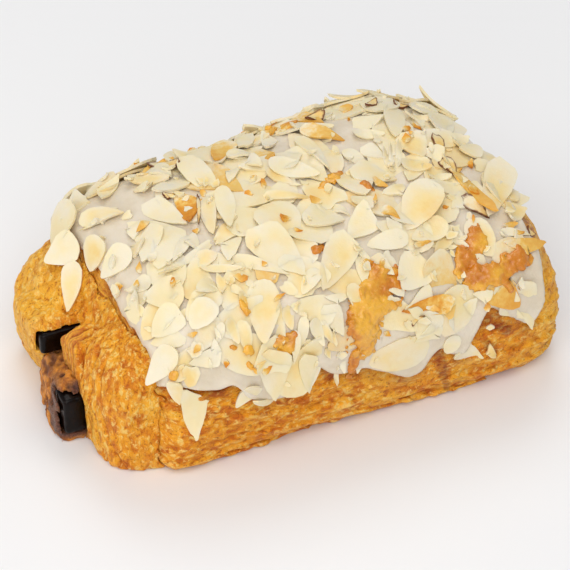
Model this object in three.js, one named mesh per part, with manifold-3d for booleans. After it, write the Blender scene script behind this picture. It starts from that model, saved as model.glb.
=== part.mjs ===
// A chocolate almond pastry: a sheet of laminated dough rolled round two chocolate batons,
// baked, iced and strewn with flaked almonds. Millimetres, +Z up, the roll's axis along X,
// the long side that faces -Y in front. It rests on its flat underside at Z = 0.

import * as THREE from "three";
import { mergeVertices } from "three/addons/utils/BufferGeometryUtils.js";
import Module from "manifold-3d";

const wasm = await Module();
wasm.setup();

// ---------------------------------------------------------------------------------------
// Driving dimensions
// ---------------------------------------------------------------------------------------

const LENGTH = 123; // from tip to tip of the innermost dough
const WIDTH = 71; // across the roll, at its widest
const HEIGHT = 46; // of the bare pastry
const WIDEST_AT = 15; // height at which the flanks bulge out most
const BELOW = 24; // how far the rounded forms reach under their widest line, before the cut
const WRAP_BACK = 13.3; // how far the outer wrap stops short of the left tip
const SECOND_BACK = 9; // the same for the second turn
const LOBE_BACK = [0.8, 3]; // and for its back and front lobes
const LEAVES_BACK = 5; // and for the leaves that stand on edge between the lobes
const MIDDLE_PAST = [1.5, 1.4]; // how far past that tip the dough over the batons reaches
const RIGHT_STEP = 0.6; // each turn's step at the right end
const SKEW = 0.06; // the ends slant: the back lies this share of its distance further left
const SWELL = { wide: 0.03, high: 0.05 }; // how much bigger the roll is at the right end
const DROOP = [0.38, 0.32]; // how much lower the top is at the left end and at the right end
const DROOP_POWER = 2.8; // how late along the roll its top starts to fall
const DOME = 1.9; // how much rounder the ends are above the widest line than beneath it
const SECTION = 0.66; // 1 would be an ellipse across the roll, 0 a rectangle

// past and short are how far it lies past the left tip and short of the right one
const BATON = { past: 0.2, short: 0.5, wide: 11, thick: 6.2, edge: 0.9 };
const CLEARANCE = 0.3; // between neighbouring pieces

const ICING = 1.5; // thickness of the poured icing
// how high over the table it ends at a flank, and how much lower in front and higher at the
// left and right ends; tongue is how far it runs up and down
const ICING_EDGE = { height: 21, front: -3, left: 16, right: 5, tongue: 1.7 };

const FLAKES = {
  count: 92,
  thick: 1,
  long: [13, 21], // the shortest and the longest slice
  share: [0.5, 0.68], // width as a share of the length
  kept: [0.5, 0.8], // what is left of a broken one
  broken: 0.3, // share of the slices that are broken
  ends: [16, 8], // how far the outermost ones lie from the roll's left and right tips
  flanks: [0.14, 0.86], // how far round the roll they lie, in half turns from the back
  layer: 0.9, // how much higher a slice lies for each one under it, in slice thicknesses
};

const LEFT = -LENGTH / 2;
const RIGHT = LENGTH / 2;

// ---------------------------------------------------------------------------------------
// Helpers
// ---------------------------------------------------------------------------------------

// A small seeded generator, so that the almonds fall the same way every time.
function seeded(seed) {
  let state = seed;
  return () => {
    state = (state + 0x6d2b79f5) | 0;
    let mixed = Math.imul(state ^ (state >>> 15), 1 | state);
    mixed = (mixed + Math.imul(mixed ^ (mixed >>> 7), 61 | mixed)) ^ mixed;
    return ((mixed ^ (mixed >>> 14)) >>> 0) / 4294967296;
  };
}

const between = ([low, high], share) => low + (high - low) * share;
const signedPower = (value, power) => Math.sign(value) * Math.abs(value) ** power;

// Keeps only the positions of a geometry and welds the vertices that coincide.
function welded(geometry) {
  const bare = geometry.clone();
  for (const name of ["normal", "uv"]) bare.deleteAttribute(name);
  return mergeVertices(bare, 1e-4);
}

function solidOf(geometry) {
  const closed = welded(geometry);
  const corners = [...closed.index.array];
  const triVerts = [];
  for (let i = 0; i < corners.length; i += 3) {
    const [a, b, c] = corners.slice(i, i + 3);
    if (a !== b && b !== c && c !== a) triVerts.push(a, b, c);
  }
  return new wasm.Manifold(
    new wasm.Mesh({
      numProp: 3,
      vertProperties: closed.attributes.position.array,
      triVerts: new Uint32Array(triVerts),
    }),
  );
}

function geometryOf(solid) {
  const mesh = solid.getMesh();
  const geometry = new THREE.BufferGeometry();
  geometry.setAttribute("position", new THREE.BufferAttribute(mesh.vertProperties, 3));
  geometry.setIndex(new THREE.BufferAttribute(mesh.triVerts, 1));
  geometry.computeVertexNormals();
  return geometry;
}

// The largest of a solid's separate bodies: a scrap that touches nothing is dropped.
function mainBody(solid) {
  const bodies = solid.decompose();
  return bodies.reduce((best, body) => (body.volume() > best.volume() ? body : best));
}

function named(name, geometry, material) {
  const mesh = new THREE.Mesh(geometry, material);
  mesh.name = name;
  return mesh;
}

// ---------------------------------------------------------------------------------------
// The rolled dough: nested turns, each a rounded block that reaches further out at both ends
// than the one round it, so that the ends show the roll's steps
// ---------------------------------------------------------------------------------------

// ends and girth set how square a form's left and right ends are: small numbers give a flat
// end, with the dough's own edge, and large ones a dome. Some have their own reach below
// their widest line, or their own slant at the ends.
const TURNS = [
  // the outer wrap
  {
    from: LEFT + WRAP_BACK,
    to: RIGHT - 2 * RIGHT_STEP,
    width: WIDTH,
    top: HEIGHT,
    middle: [0, WIDEST_AT],
    ends: [0.09, 0.17],
    girth: [0.5, 0.5],
    around: 36,
    along: 22,
  },
  // the turn inside it
  {
    from: LEFT + SECOND_BACK,
    to: RIGHT - RIGHT_STEP,
    width: WIDTH - 4,
    top: HEIGHT - 2.5,
    middle: [0, WIDEST_AT],
    ends: [0.2, 0.22],
    girth: [0.58, 0.6],
    around: 30,
    along: 18,
  },
  // that turn's back lobe, which bulges out furthest and curls over the upper baton
  {
    from: LEFT + LOBE_BACK[0],
    to: 0,
    width: 28,
    top: HEIGHT - 9,
    middle: [15.5, 17],
    ends: [0.36, 0.3],
    girth: [0.8, 0.6],
    around: 24,
    along: 14,
  },
  // its front lobe, beside the lower baton
  {
    from: LEFT + LOBE_BACK[1],
    to: 0,
    width: 27,
    top: HEIGHT - 8,
    middle: [-16.5, 16],
    ends: [0.26, 0.3],
    girth: [0.7, 0.6],
    around: 24,
    along: 14,
  },
  // the dough that curls round the end of the upper baton
  {
    from: LEFT - MIDDLE_PAST[0],
    to: 0,
    width: 15.6,
    top: 28,
    middle: [9.4, 21.5],
    below: 8.5,
    ends: [0.1, 0.3],
    girth: [0.4, 0.6],
    around: 20,
    along: 12,
  },
  // the leaves on edge in front of it
  {
    from: LEFT + LEAVES_BACK,
    to: 0,
    width: 14.6,
    top: 30,
    middle: [-8, 16],
    ends: [0.13, 0.3],
    girth: [0.5, 0.6],
    around: 20,
    along: 12,
  },
  // the crumb in the middle
  {
    from: LEFT - MIDDLE_PAST[1],
    to: RIGHT,
    width: 21.4,
    top: 23,
    middle: [-2.6, 9],
    skew: -0.1,
    ends: [0.08, 0.1],
    girth: [0.3, 0.3],
    around: 20,
    along: 12,
  },
];

// Gentle swells and dips of risen dough, in millimetres, at a point of the surface.
function unevenness({ x, y, z }) {
  const swell = Math.sin(x / 13 + y / 19 + 0.6) * Math.cos(z / 11 - x / 31);
  const ripple = Math.sin(x / 5.1 - z / 7.3 + 1.1) * Math.sin(y / 6.2 + x / 17);
  return 0.8 * swell + 0.35 * ripple;
}

// One turn as a closed geometry, grown outwards by a distance.
function turnGeometry(turn, grow) {
  const ball = new THREE.SphereGeometry(1, turn.around, turn.along).rotateZ(-Math.PI / 2);
  const geometry = welded(ball);
  const points = geometry.attributes.position;
  const half = (turn.to - turn.from) / 2;
  const point = new THREE.Vector3();
  for (let i = 0; i < points.count; i++) {
    point.fromBufferAttribute(points, i).clampScalar(-1, 1);
    const side = point.x < 0 ? 0 : 1;
    const girth = Math.sqrt(Math.max(0, 1 - point.x ** 2)) ** turn.girth[side];
    const angle = Math.atan2(point.z, point.y);
    const x = (turn.from + turn.to) / 2 + half * signedPower(point.x, turn.ends[side]);
    const wide = (turn.width / 2) * (1 + (SWELL.wide * x) / RIGHT);
    const y = turn.middle[0] + wide * girth * signedPower(Math.cos(angle), SECTION);
    const droop = DROOP[side] * Math.abs(x / RIGHT) ** DROOP_POWER;
    const above = (turn.top - turn.middle[1]) * (1 + (SWELL.high * x) / RIGHT - droop);
    const reach = point.z > 0 ? above * girth ** (DOME - 1) : (turn.below ?? BELOW);
    const z = turn.middle[1] + reach * girth * signedPower(Math.sin(angle), SECTION);
    points.setXYZ(i, x - (turn.skew ?? SKEW) * y, y, z);
  }
  geometry.computeVertexNormals();
  const normal = new THREE.Vector3();
  for (let i = 0; i < points.count; i++) {
    point.fromBufferAttribute(points, i);
    normal.fromBufferAttribute(geometry.attributes.normal, i);
    point.addScaledVector(normal, grow + unevenness(point));
    points.setXYZ(i, point.x, point.y, point.z);
  }
  return geometry;
}

// All the turns joined, grown outwards by a distance, before the underside is cut flat.
function roll(grow) {
  return TURNS.map((turn) => solidOf(turnGeometry(turn, grow))).reduce((a, b) => a.add(b));
}

function block(width, depth, height, x, y, z) {
  return solidOf(new THREE.BoxGeometry(width, depth, height).translate(x, y, z));
}

const tray = block(2 * LENGTH, 2 * WIDTH, 2 * HEIGHT, 0, 0, -HEIGHT);

// ---------------------------------------------------------------------------------------
// Two chocolate batons, which run through the roll and show at its ends: the upper one
// lies flat in the middle, the lower one stands on edge in front
// ---------------------------------------------------------------------------------------

const BATONS = {
  baton_upper: { across: BATON.wide, high: BATON.thick, y: 6.9, z: 19.8 },
  baton_lower: { across: BATON.thick, high: BATON.wide, y: -9.4, z: 8.2 },
};

// A baton as moulded: a bar with its long edges broken. Grown, it is the channel that the
// baton lies in, which runs out at the right end.
function batonGeometry({ across, high, y, z }, grow = 0) {
  const { edge } = BATON;
  const [w, h] = [across / 2 + grow, high / 2 + grow];
  const section = new THREE.Shape([
    new THREE.Vector2(-w + edge, -h),
    new THREE.Vector2(w - edge, -h),
    new THREE.Vector2(w, -h + edge),
    new THREE.Vector2(w, h - edge),
    new THREE.Vector2(w - edge, h),
    new THREE.Vector2(-w + edge, h),
    new THREE.Vector2(-w, h - edge),
    new THREE.Vector2(-w, -h + edge),
  ]);
  const start = LEFT - BATON.past - grow;
  const depth = (grow > 0 ? LENGTH : RIGHT - BATON.short) - start;
  const bar = new THREE.ExtrudeGeometry(section, { depth, bevelEnabled: false });
  bar.translate(0, 0, start);
  return bar.rotateX(Math.PI / 2).rotateZ(Math.PI / 2).translate(0, y, z);
}

function pastrySolid() {
  const channels = Object.values(BATONS).map((baton) => solidOf(batonGeometry(baton, CLEARANCE)));
  return channels.reduce((dough, channel) => dough.subtract(channel), roll(0).subtract(tray));
}

// ---------------------------------------------------------------------------------------
// The icing: a skin over the top, which runs down the flanks in tongues
// ---------------------------------------------------------------------------------------

// Height of the icing's lower edge at a direction seen from above, where 0 is +X (the right
// end) and a quarter turn is +Y (the back).
function icingEdge(angle) {
  const front = Math.max(0, -Math.sin(angle));
  const left = Math.max(0, -Math.cos(angle)) ** 4;
  const right = Math.max(0, Math.cos(angle)) ** 6;
  const tongues = Math.sin(9 * angle + 0.7) + 0.7 * Math.sin(17 * angle + 2.2);
  const edge = ICING_EDGE;
  const level = edge.height + edge.front * front + edge.left * left + edge.right * right;
  return level + edge.tongue * tongues * (1 - left);
}

// Everything above the icing's lower edge, as a solid to cut with.
function aboveEdge() {
  const steps = 96;
  const reach = 2 * LENGTH;
  const rings = [
    { radius: 1, height: icingEdge },
    { radius: reach, height: icingEdge },
    { radius: reach, height: () => 3 * HEIGHT },
    { radius: 1, height: () => 3 * HEIGHT },
  ];
  const positions = [0, 0, HEIGHT / 2, 0, 0, 3 * HEIGHT];
  for (const { radius, height } of rings)
    for (let i = 0; i < steps; i++) {
      const angle = (2 * Math.PI * i) / steps;
      positions.push(radius * Math.cos(angle), radius * Math.sin(angle), height(angle));
    }
  const at = (ring, i) => 2 + ring * steps + (i % steps);
  const faces = [];
  for (let i = 0; i < steps; i++) {
    faces.push(0, at(0, i + 1), at(0, i), 1, at(3, i), at(3, i + 1));
    for (let ring = 0; ring < 3; ring++) {
      faces.push(at(ring, i), at(ring, i + 1), at(ring + 1, i + 1));
      faces.push(at(ring, i), at(ring + 1, i + 1), at(ring + 1, i));
    }
  }
  const geometry = new THREE.BufferGeometry();
  geometry.setAttribute("position", new THREE.Float32BufferAttribute(positions, 3));
  return geometry.setIndex(faces);
}

// ---------------------------------------------------------------------------------------
// Flaked almonds: thin slices with one pointed end, some of them broken, lying over each
// other on the icing
// ---------------------------------------------------------------------------------------

// A slice seen flat, pointed at -X and round at +X. kept is the share of its length that is
// left where its round end has broken off.
function almondShape(length, width, kept) {
  const whole = new THREE.Shape();
  whole.moveTo(-length / 2, 0);
  whole.bezierCurveTo(-length / 5, -width * 0.62, length / 2, -width * 0.72, length / 2, 0);
  whole.bezierCurveTo(length / 2, width * 0.72, -length / 5, width * 0.62, -length / 2, 0);
  const cut = -length / 2 + length * kept;
  return new THREE.Shape(whole.getPoints(5).filter(({ x, y }) => x <= cut + 0.2 * y + 0.01));
}

function almondGeometry(length, width, kept) {
  const shape = almondShape(length, width, kept);
  return new THREE.ExtrudeGeometry(shape, { depth: FLAKES.thick, bevelEnabled: false });
}

// Where a flake lies: a point of the icing's skin, met from the roll's axis outwards. The
// two shares spread the flakes evenly along the roll and round it, from flank to flank.
function landing(skin, alongShare, roundShare) {
  const along = between([LEFT + FLAKES.ends[0], RIGHT - FLAKES.ends[1]], alongShare);
  const around = between(FLAKES.flanks, roundShare) * Math.PI;
  const out = new THREE.Vector3(0, Math.cos(around), Math.sin(around));
  const axis = new THREE.Vector3(along, 0, WIDEST_AT);
  const far = axis.addScaledVector(out, LENGTH);
  const hit = new THREE.Raycaster(far, out.clone().negate()).intersectObject(skin)[0];
  return hit && { point: hit.point, normal: hit.face.normal };
}

function strewnAlmonds(skin) {
  const random = seeded(6);
  const spread = [0.7548776662, 0.5698402909]; // steps that fill a square evenly
  const up = new THREE.Vector3(0, 0, 1);
  const flakes = [];
  for (let i = 0; i < FLAKES.count; i++) {
    const size = 1 - i / FLAKES.count; // the largest come first
    const place = landing(skin, (i * spread[0]) % 1, (0.5 + i * spread[1]) % 1);
    const length = between(FLAKES.long, Math.min(1, size + 0.3 * (random() - 0.5)));
    const width = length * between(FLAKES.share, random());
    const kept = random() < FLAKES.broken ? between(FLAKES.kept, random()) : 1;
    const turn = random() * 2 * Math.PI;
    const tilt = 0.5 * (random() - 0.35);
    const under = i % 3; // how many other slices a slice lies on
    if (!place || place.point.z < icingEdge(Math.atan2(place.point.y, place.point.x))) continue;
    const lie = new THREE.Quaternion().setFromUnitVectors(up, place.normal);
    const own = new THREE.Quaternion().setFromEuler(new THREE.Euler(tilt, tilt / 2, turn));
    const flake = almondGeometry(length, width, kept).applyQuaternion(lie.multiply(own));
    const lift = (FLAKES.layer * under - 0.4) * FLAKES.thick;
    const { x, y, z } = place.point.clone().addScaledVector(place.normal, lift);
    flakes.push(solidOf(flake.translate(x, y, z)));
  }
  return flakes;
}

function icingSolid() {
  const outer = roll(CLEARANCE + ICING);
  const inner = roll(CLEARANCE);
  const sheet = outer.intersect(solidOf(aboveEdge()));
  const skin = new THREE.Mesh(geometryOf(sheet));
  const strewn = strewnAlmonds(skin).reduce((whole, flake) => whole.add(flake), sheet);
  return mainBody(strewn.subtract(inner));
}

// ---------------------------------------------------------------------------------------
// Materials and assembly
// ---------------------------------------------------------------------------------------

const crust = new THREE.MeshStandardMaterial({ color: 0xcd8a34, roughness: 0.55, metalness: 0 });
const chocolate = new THREE.MeshStandardMaterial({ color: 0x1c0d08, roughness: 0.4, metalness: 0 });
const almond = new THREE.MeshStandardMaterial({ color: 0xecdcb4, roughness: 0.6, metalness: 0 });

const pastry = new THREE.Group();
pastry.add(named("pastry", geometryOf(pastrySolid()), crust));
for (const [name, baton] of Object.entries(BATONS))
  pastry.add(named(name, batonGeometry(baton), chocolate));
pastry.add(named("icing_and_almonds", geometryOf(icingSolid()), almond));

// The origin is the middle of the object's box, on the surface that it rests on.
const box = new THREE.Box3().setFromObject(pastry, true);
const middle = box.getCenter(new THREE.Vector3());
pastry.position.set(-middle.x, -middle.y, 0);

export default pastry;
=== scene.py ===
# A rolled pastry with two chocolate batons in it, iced on top and strewn with flaked almonds.
# Sizes are in millimetres up to each mesh's making, which turns them into Blender's metres.
import math

import bpy
import numpy as np
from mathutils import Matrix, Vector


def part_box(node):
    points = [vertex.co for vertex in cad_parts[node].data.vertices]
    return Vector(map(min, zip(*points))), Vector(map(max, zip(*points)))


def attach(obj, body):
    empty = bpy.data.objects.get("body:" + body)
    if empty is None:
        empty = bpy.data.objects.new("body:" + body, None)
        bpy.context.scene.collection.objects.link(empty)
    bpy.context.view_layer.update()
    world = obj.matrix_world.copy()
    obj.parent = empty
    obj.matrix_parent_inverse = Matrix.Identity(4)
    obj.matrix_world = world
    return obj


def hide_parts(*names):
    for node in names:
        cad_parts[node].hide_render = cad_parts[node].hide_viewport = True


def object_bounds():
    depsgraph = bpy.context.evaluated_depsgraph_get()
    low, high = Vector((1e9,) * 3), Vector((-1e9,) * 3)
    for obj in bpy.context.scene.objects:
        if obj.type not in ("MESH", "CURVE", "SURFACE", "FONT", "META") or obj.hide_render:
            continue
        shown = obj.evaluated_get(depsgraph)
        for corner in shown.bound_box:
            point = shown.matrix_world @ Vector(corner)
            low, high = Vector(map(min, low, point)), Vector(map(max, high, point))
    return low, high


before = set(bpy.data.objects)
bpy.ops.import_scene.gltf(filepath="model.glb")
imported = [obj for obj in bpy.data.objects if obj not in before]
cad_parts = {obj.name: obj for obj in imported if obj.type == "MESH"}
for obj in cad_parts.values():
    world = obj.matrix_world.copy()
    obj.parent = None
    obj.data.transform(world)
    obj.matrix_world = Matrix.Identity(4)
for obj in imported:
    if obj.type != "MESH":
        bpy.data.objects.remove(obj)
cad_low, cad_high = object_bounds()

import openvdb
from mathutils import Matrix, Vector
from mathutils.bvhtree import BVHTree

MM = 0.001


def in_mm(corners):
    """A box's two corners as arrays in millimetres."""
    return [np.array(corner) / MM for corner in corners]


# ---------------------------------------------------------------------------------------
# Camera, floor and studio light. The pastry lies on a pale table under a large softbox,
# seen from its left front corner, a little more than forty degrees above the table.
# ---------------------------------------------------------------------------------------

PHOTO = 570
SENSOR = 36.0
VIEW = {"azimuth": -24, "elevation": 42, "distance": 700, "aim": (0, 0, 18)}
PIXELS_PER_MM = 4.12
MIDDLE_PIXEL = (277.2, 284.9)

azimuth, elevation = math.radians(VIEW["azimuth"]), math.radians(VIEW["elevation"])
TO_CAMERA = Vector(
    (
        math.sin(azimuth) * math.cos(elevation),
        -math.cos(azimuth) * math.cos(elevation),
        math.sin(elevation),
    )
)
CAMERA_AT = Vector(VIEW["aim"]) + TO_CAMERA * VIEW["distance"]
RIGHTWARD = Vector((math.cos(azimuth), math.sin(azimuth), 0))
UPWARD = TO_CAMERA.cross(RIGHTWARD)
FOCAL_PIXELS = PIXELS_PER_MM * VIEW["distance"]

camera_data = bpy.data.cameras.new("camera")
camera_data.sensor_width = SENSOR
camera_data.lens = FOCAL_PIXELS * SENSOR / PHOTO
camera_data.shift_x = (PHOTO / 2 - MIDDLE_PIXEL[0]) / PHOTO
camera_data.shift_y = (MIDDLE_PIXEL[1] - PHOTO / 2) / PHOTO
camera_data.clip_start = 0.05
camera_data.clip_end = 20
camera = bpy.data.objects.new("camera", camera_data)
camera.location = CAMERA_AT * MM
camera.rotation_euler = TO_CAMERA.to_track_quat("Z", "Y").to_euler()
bpy.context.scene.collection.objects.link(camera)
bpy.context.scene.camera = camera


def sight_line(pixel):
    """The direction in which the camera sees a pixel of the photograph."""
    across, down = pixel[0] - MIDDLE_PIXEL[0], pixel[1] - MIDDLE_PIXEL[1]
    return (RIGHTWARD * across - UPWARD * down - TO_CAMERA * FOCAL_PIXELS).normalized()


def pixels_of(points):
    """The pixels of the photograph at which the camera sees some points."""
    offset = np.asarray(points) - np.array(CAMERA_AT)
    depth = -offset @ np.array(TO_CAMERA)
    across = MIDDLE_PIXEL[0] + FOCAL_PIXELS * (offset @ np.array(RIGHTWARD)) / depth
    down = MIDDLE_PIXEL[1] - FOCAL_PIXELS * (offset @ np.array(UPWARD)) / depth
    return np.stack([across, down], axis=-1)


def link(name, mesh):
    piece = bpy.data.objects.new(name, mesh)
    bpy.context.scene.collection.objects.link(piece)
    return piece


def srgb(red, green, blue):
    """A colour given as on a screen, 0 to 255, as Blender's linear colour."""
    scaled = [c / 255 for c in (red, green, blue)]
    linear = [c / 12.92 if c <= 0.04045 else ((c + 0.055) / 1.055) ** 2.4 for c in scaled]
    return (*linear, 1.0)


class Nodes:
    """Short words for building one material's or one group's node tree."""

    def __init__(self, tree):
        self.tree = tree

    def add(self, kind, inputs=None, **settings):
        node = self.tree.nodes.new(kind)
        for name, value in settings.items():
            setattr(node, name, value)
        for socket, value in (inputs or {}).items():
            self.set(node.inputs[socket], value)
        return node

    def set(self, socket, value):
        if isinstance(value, bpy.types.NodeSocket):
            self.tree.links.new(value, socket)
        else:
            socket.default_value = value

    def math(self, operation, first, second=0.0, clamp=False):
        node = self.add("ShaderNodeMath", {0: first, 1: second}, operation=operation)
        node.use_clamp = clamp
        return node.outputs[0]

    def mix(self, factor, first, second, blend="MIX"):
        node = self.add("ShaderNodeMix", data_type="RGBA", blend_type=blend)
        self.set(node.inputs["Factor"], factor)
        self.set(node.inputs["A"], first)
        self.set(node.inputs["B"], second)
        return node.outputs["Result"]

    def weighted(self, *terms):
        """The sum of some values, each with its weight."""
        total = self.math("MULTIPLY", *terms[0])
        for value, weight in terms[1:]:
            total = self.math("ADD", total, self.math("MULTIPLY", value, weight))
        return total

    def tinted(self, colour, *tints):
        """A colour with tints over it: what each follows, from where to where it comes in,
        how much of it there is at most, and its colour."""
        for value, low, high, most, tint in tints:
            colour = self.mix(self.span(value, low, high, 0, most), colour, tint)
        return colour

    def span(self, value, low, high, to_low=0.0, to_high=1.0):
        """A value moved from one range to another, held inside it, with soft ends."""
        sockets = {"Value": value, "From Min": low, "From Max": high}
        sockets |= {"To Min": to_low, "To Max": to_high}
        node = self.add("ShaderNodeMapRange", sockets, interpolation_type="SMOOTHSTEP")
        return node.outputs["Result"]

    def attribute(self, name, output="Fac"):
        return self.add("ShaderNodeAttribute", attribute_name=name).outputs[output]

    def noise(self, vector, scale, detail=4.0, rough=0.55, distortion=0.0):
        sockets = {"Vector": vector, "Scale": scale, "Detail": detail}
        sockets |= {"Roughness": rough, "Distortion": distortion}
        return self.add("ShaderNodeTexNoise", sockets).outputs["Fac"]

    def cells(self, vector, scale, feature="F1", output="Distance", random=1.0):
        sockets = {"Vector": vector, "Scale": scale, "Randomness": random}
        return self.add("ShaderNodeTexVoronoi", sockets, feature=feature).outputs[output]

    def bump(self, height, distance, strength=1.0, normal=None):
        node = self.add("ShaderNodeBump", {"Height": height, "Strength": strength})
        node.inputs["Distance"].default_value = distance * MM
        if normal is not None:
            self.set(node.inputs["Normal"], normal)
        return node.outputs["Normal"]


def material(name, build, **finish):
    """A Principled material: build(nodes) gives what varies, finish the constants."""
    made = bpy.data.materials.new(name)
    made.use_nodes = True
    nodes = Nodes(made.node_tree)
    shader = made.node_tree.nodes["Principled BSDF"]
    for socket, value in finish.items():
        shader.inputs[socket].default_value = value
    for socket, value in build(nodes).items():
        nodes.set(shader.inputs[socket], value)
    return made


def object_coordinates(nodes):
    """The piece's own coordinates, in millimetres."""
    where = nodes.add("ShaderNodeTexCoord").outputs["Object"]
    scaled = nodes.add("ShaderNodeVectorMath", {0: where}, operation="SCALE")
    scaled.inputs["Scale"].default_value = 1 / MM
    return scaled.outputs[0]


def table_look(nodes):
    where = object_coordinates(nodes)
    shade = nodes.noise(where, 0.004, 2.0)
    return {"Base Color": nodes.mix(shade, srgb(243, 243, 243), srgb(240, 240, 242))}


FLOOR_REACH, FLOOR_AT = 4000, -0.2
bpy.ops.mesh.primitive_plane_add(size=2 * FLOOR_REACH * MM, location=(0, 0, FLOOR_AT * MM))
floor = bpy.context.object
floor.name = "table"
floor.data.materials.append(material("table", table_look, Roughness=0.6))

# each light: name, where it hangs and what it looks at (mm), edge (mm), power (W), colour
LIGHTS = [
    ("key", (-250, -520, 900), (0, 0, 10), 800, 5.5, (1.0, 0.99, 0.975)),
    ("softbox", (200, 480, 850), (0, 0, 20), 500, 2.2, (1.0, 0.99, 0.97)),
    ("front_fill", (-420, -820, 320), (0, 0, 20), 600, 1.6, (1.0, 0.98, 0.95)),
    ("left_fill", (-900, 120, 330), (0, 0, 20), 500, 1.8, (1.0, 0.98, 0.95)),
]
for name, place, aim, edge, power, colour in LIGHTS:
    lamp_data = bpy.data.lights.new(name, "AREA")
    lamp_data.size = edge * MM
    lamp_data.energy = power
    lamp_data.color = colour
    lamp = bpy.data.objects.new(name, lamp_data)
    lamp.location = Vector(place) * MM
    lamp.rotation_euler = (Vector(place) - Vector(aim)).to_track_quat("Z", "Y").to_euler()
    bpy.context.scene.collection.objects.link(lamp)

world = bpy.data.worlds.new("studio")
world.use_nodes = True
world.node_tree.nodes["Background"].inputs["Color"].default_value = (0.97, 0.98, 1.0, 1)
world.node_tree.nodes["Background"].inputs["Strength"].default_value = 0.4
bpy.context.scene.world = world
bpy.context.scene.view_settings.view_transform = "Standard"

# ---------------------------------------------------------------------------------------
# The rolled dough: laminated dough rolled round two batons and baked, so that each turn
# reaches further out at the ends than the one round it. The turns are worked out as
# distances in a block of space, which gives closed pieces with real relief.
# ---------------------------------------------------------------------------------------

# the turns are laid out round the upper baton, and moved with it into the part's frame
baton_low, baton_high = in_mm(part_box("baton_upper"))
BATON_UPPER_AT = np.array((-0.35, 6.9, 19.8))
SHIFT = (baton_low + baton_high) / 2 - BATON_UPPER_AT

LENGTH, WIDTH, HEIGHT = 123, 71, 46
LEFT, RIGHT = -LENGTH / 2, LENGTH / 2
# the height of the widest line, and how far a turn would reach below it without the table
WIDEST_AT, BELOW = 15, 24
# how far the ends slant, how boxy the section is (1 is round), how the top nears the ends
SKEW, SECTION, DOME = 0.06, 0.66, 1.9
# how much wider and higher the roll is at the right end than in its middle
SWELL = {"wide": 0.03, "high": 0.05}
# how much lower its top is at the left and the right end, and how late that sets in
DROOP, DROOP_POWER = (0.38, 0.32), 2.8

# each turn: its reach along X, its width and top, its middle (y, z), how blunt its left and
# right end are, and how fast it gets its full girth there
TURNS = {
    "wrap": dict(span=(LEFT + 13.3, RIGHT - 1.2), width=WIDTH, top=HEIGHT,
                 middle=(0, WIDEST_AT), ends=(0.09, 0.17), girth=(0.5, 0.5)),
    "second": dict(span=(LEFT + 9, RIGHT - 0.6), width=WIDTH - 4, top=HEIGHT - 2.5,
                   middle=(0, WIDEST_AT), ends=(0.2, 0.22), girth=(0.58, 0.6)),
    "back_lobe": dict(span=(LEFT + 0.8, 0), width=28, top=HEIGHT - 9,
                      middle=(15.5, 17), ends=(0.36, 0.3), girth=(0.8, 0.6)),
    "front_lobe": dict(span=(LEFT + 3, 0), width=27, top=HEIGHT - 8,
                       middle=(-16.5, 16), ends=(0.26, 0.3), girth=(0.7, 0.6)),
    "curl": dict(span=(LEFT - 1.5, 0), width=15.6, top=28, below=8.5,
                 middle=(9.4, 21.5), ends=(0.1, 0.3), girth=(0.4, 0.6)),
    "leaves": dict(span=(LEFT + 5, 0), width=14.6, top=30, middle=(-8, 16),
                   ends=(0.13, 0.3), girth=(0.5, 0.6)),
    "strips": dict(span=(LEFT + 3.2, 0), width=12, top=29.5, below=6.5, middle=(-5.2, 20.5),
                   ends=(0.06, 0.3), girth=(0.25, 0.6)),
    "core": dict(span=(LEFT - 1.4, RIGHT), width=21.4, top=23, skew=-0.1,
                 middle=(-2.6, 9), ends=(0.08, 0.1), girth=(0.3, 0.3)),
}


def signed_power(value, power):
    return np.sign(value) * np.abs(value) ** power


def turn_section(turn, x):
    """Half the width, the reach above the widest line, and the girth, along a turn."""
    side = (x > 0).astype(int)
    droop = np.array(DROOP)[side] * np.abs(x / RIGHT) ** DROOP_POWER
    wide = turn["width"] / 2 * (1 + SWELL["wide"] * x / RIGHT)
    above = (turn["top"] - turn["middle"][1]) * (1 + SWELL["high"] * x / RIGHT - droop)
    half = (turn["span"][1] - turn["span"][0]) / 2
    along = np.clip((x - sum(turn["span"]) / 2) / half, -1, 1)
    end = (along > 0).astype(int)
    pole = np.abs(along) ** (1 / np.array(turn["ends"])[end])
    girth = np.sqrt(np.maximum(0, 1 - pole**2)) ** np.array(turn["girth"])[end]
    return wide, above, girth


RINGS = {"middle": 60, "end": 26, "around": 128}


def turn_surface(turn):
    """One turn's surface as points and quads: rings about X, closed at both ends."""
    half, middle = (turn["span"][1] - turn["span"][0]) / 2, sum(turn["span"]) / 2
    around = RINGS["around"]
    sweep = np.cos(np.linspace(0, math.pi / 2, RINGS["end"]))
    evenly = np.linspace(-0.97, 0.97, RINGS["middle"])
    along = np.concatenate([evenly, sweep ** turn["ends"][1], -(sweep ** turn["ends"][0])])
    along = np.unique(np.round(along, 5))
    x = (middle + half * along)[:, None]
    wide, above, girth = turn_section(turn, x)
    angle = np.linspace(0, 2 * math.pi, around, endpoint=False)[None, :]
    y = turn["middle"][0] + wide * girth * signed_power(np.cos(angle), SECTION)
    reach = np.where(np.sin(angle) > 0, above * girth ** (DOME - 1), turn.get("below", BELOW))
    z = turn["middle"][1] + reach * girth * signed_power(np.sin(angle), SECTION)
    points = np.stack([x - turn.get("skew", SKEW) * y, y, z], axis=-1).reshape(-1, 3)
    ring = np.arange(around)
    start = (np.arange(len(along) - 1) * around)[:, None]
    after = (ring + 1) % around
    quads = np.stack(
        [start + ring, start + after, start + around + after, start + around + ring], axis=-1
    )
    return points + SHIFT, quads.reshape(-1, 4)


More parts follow.
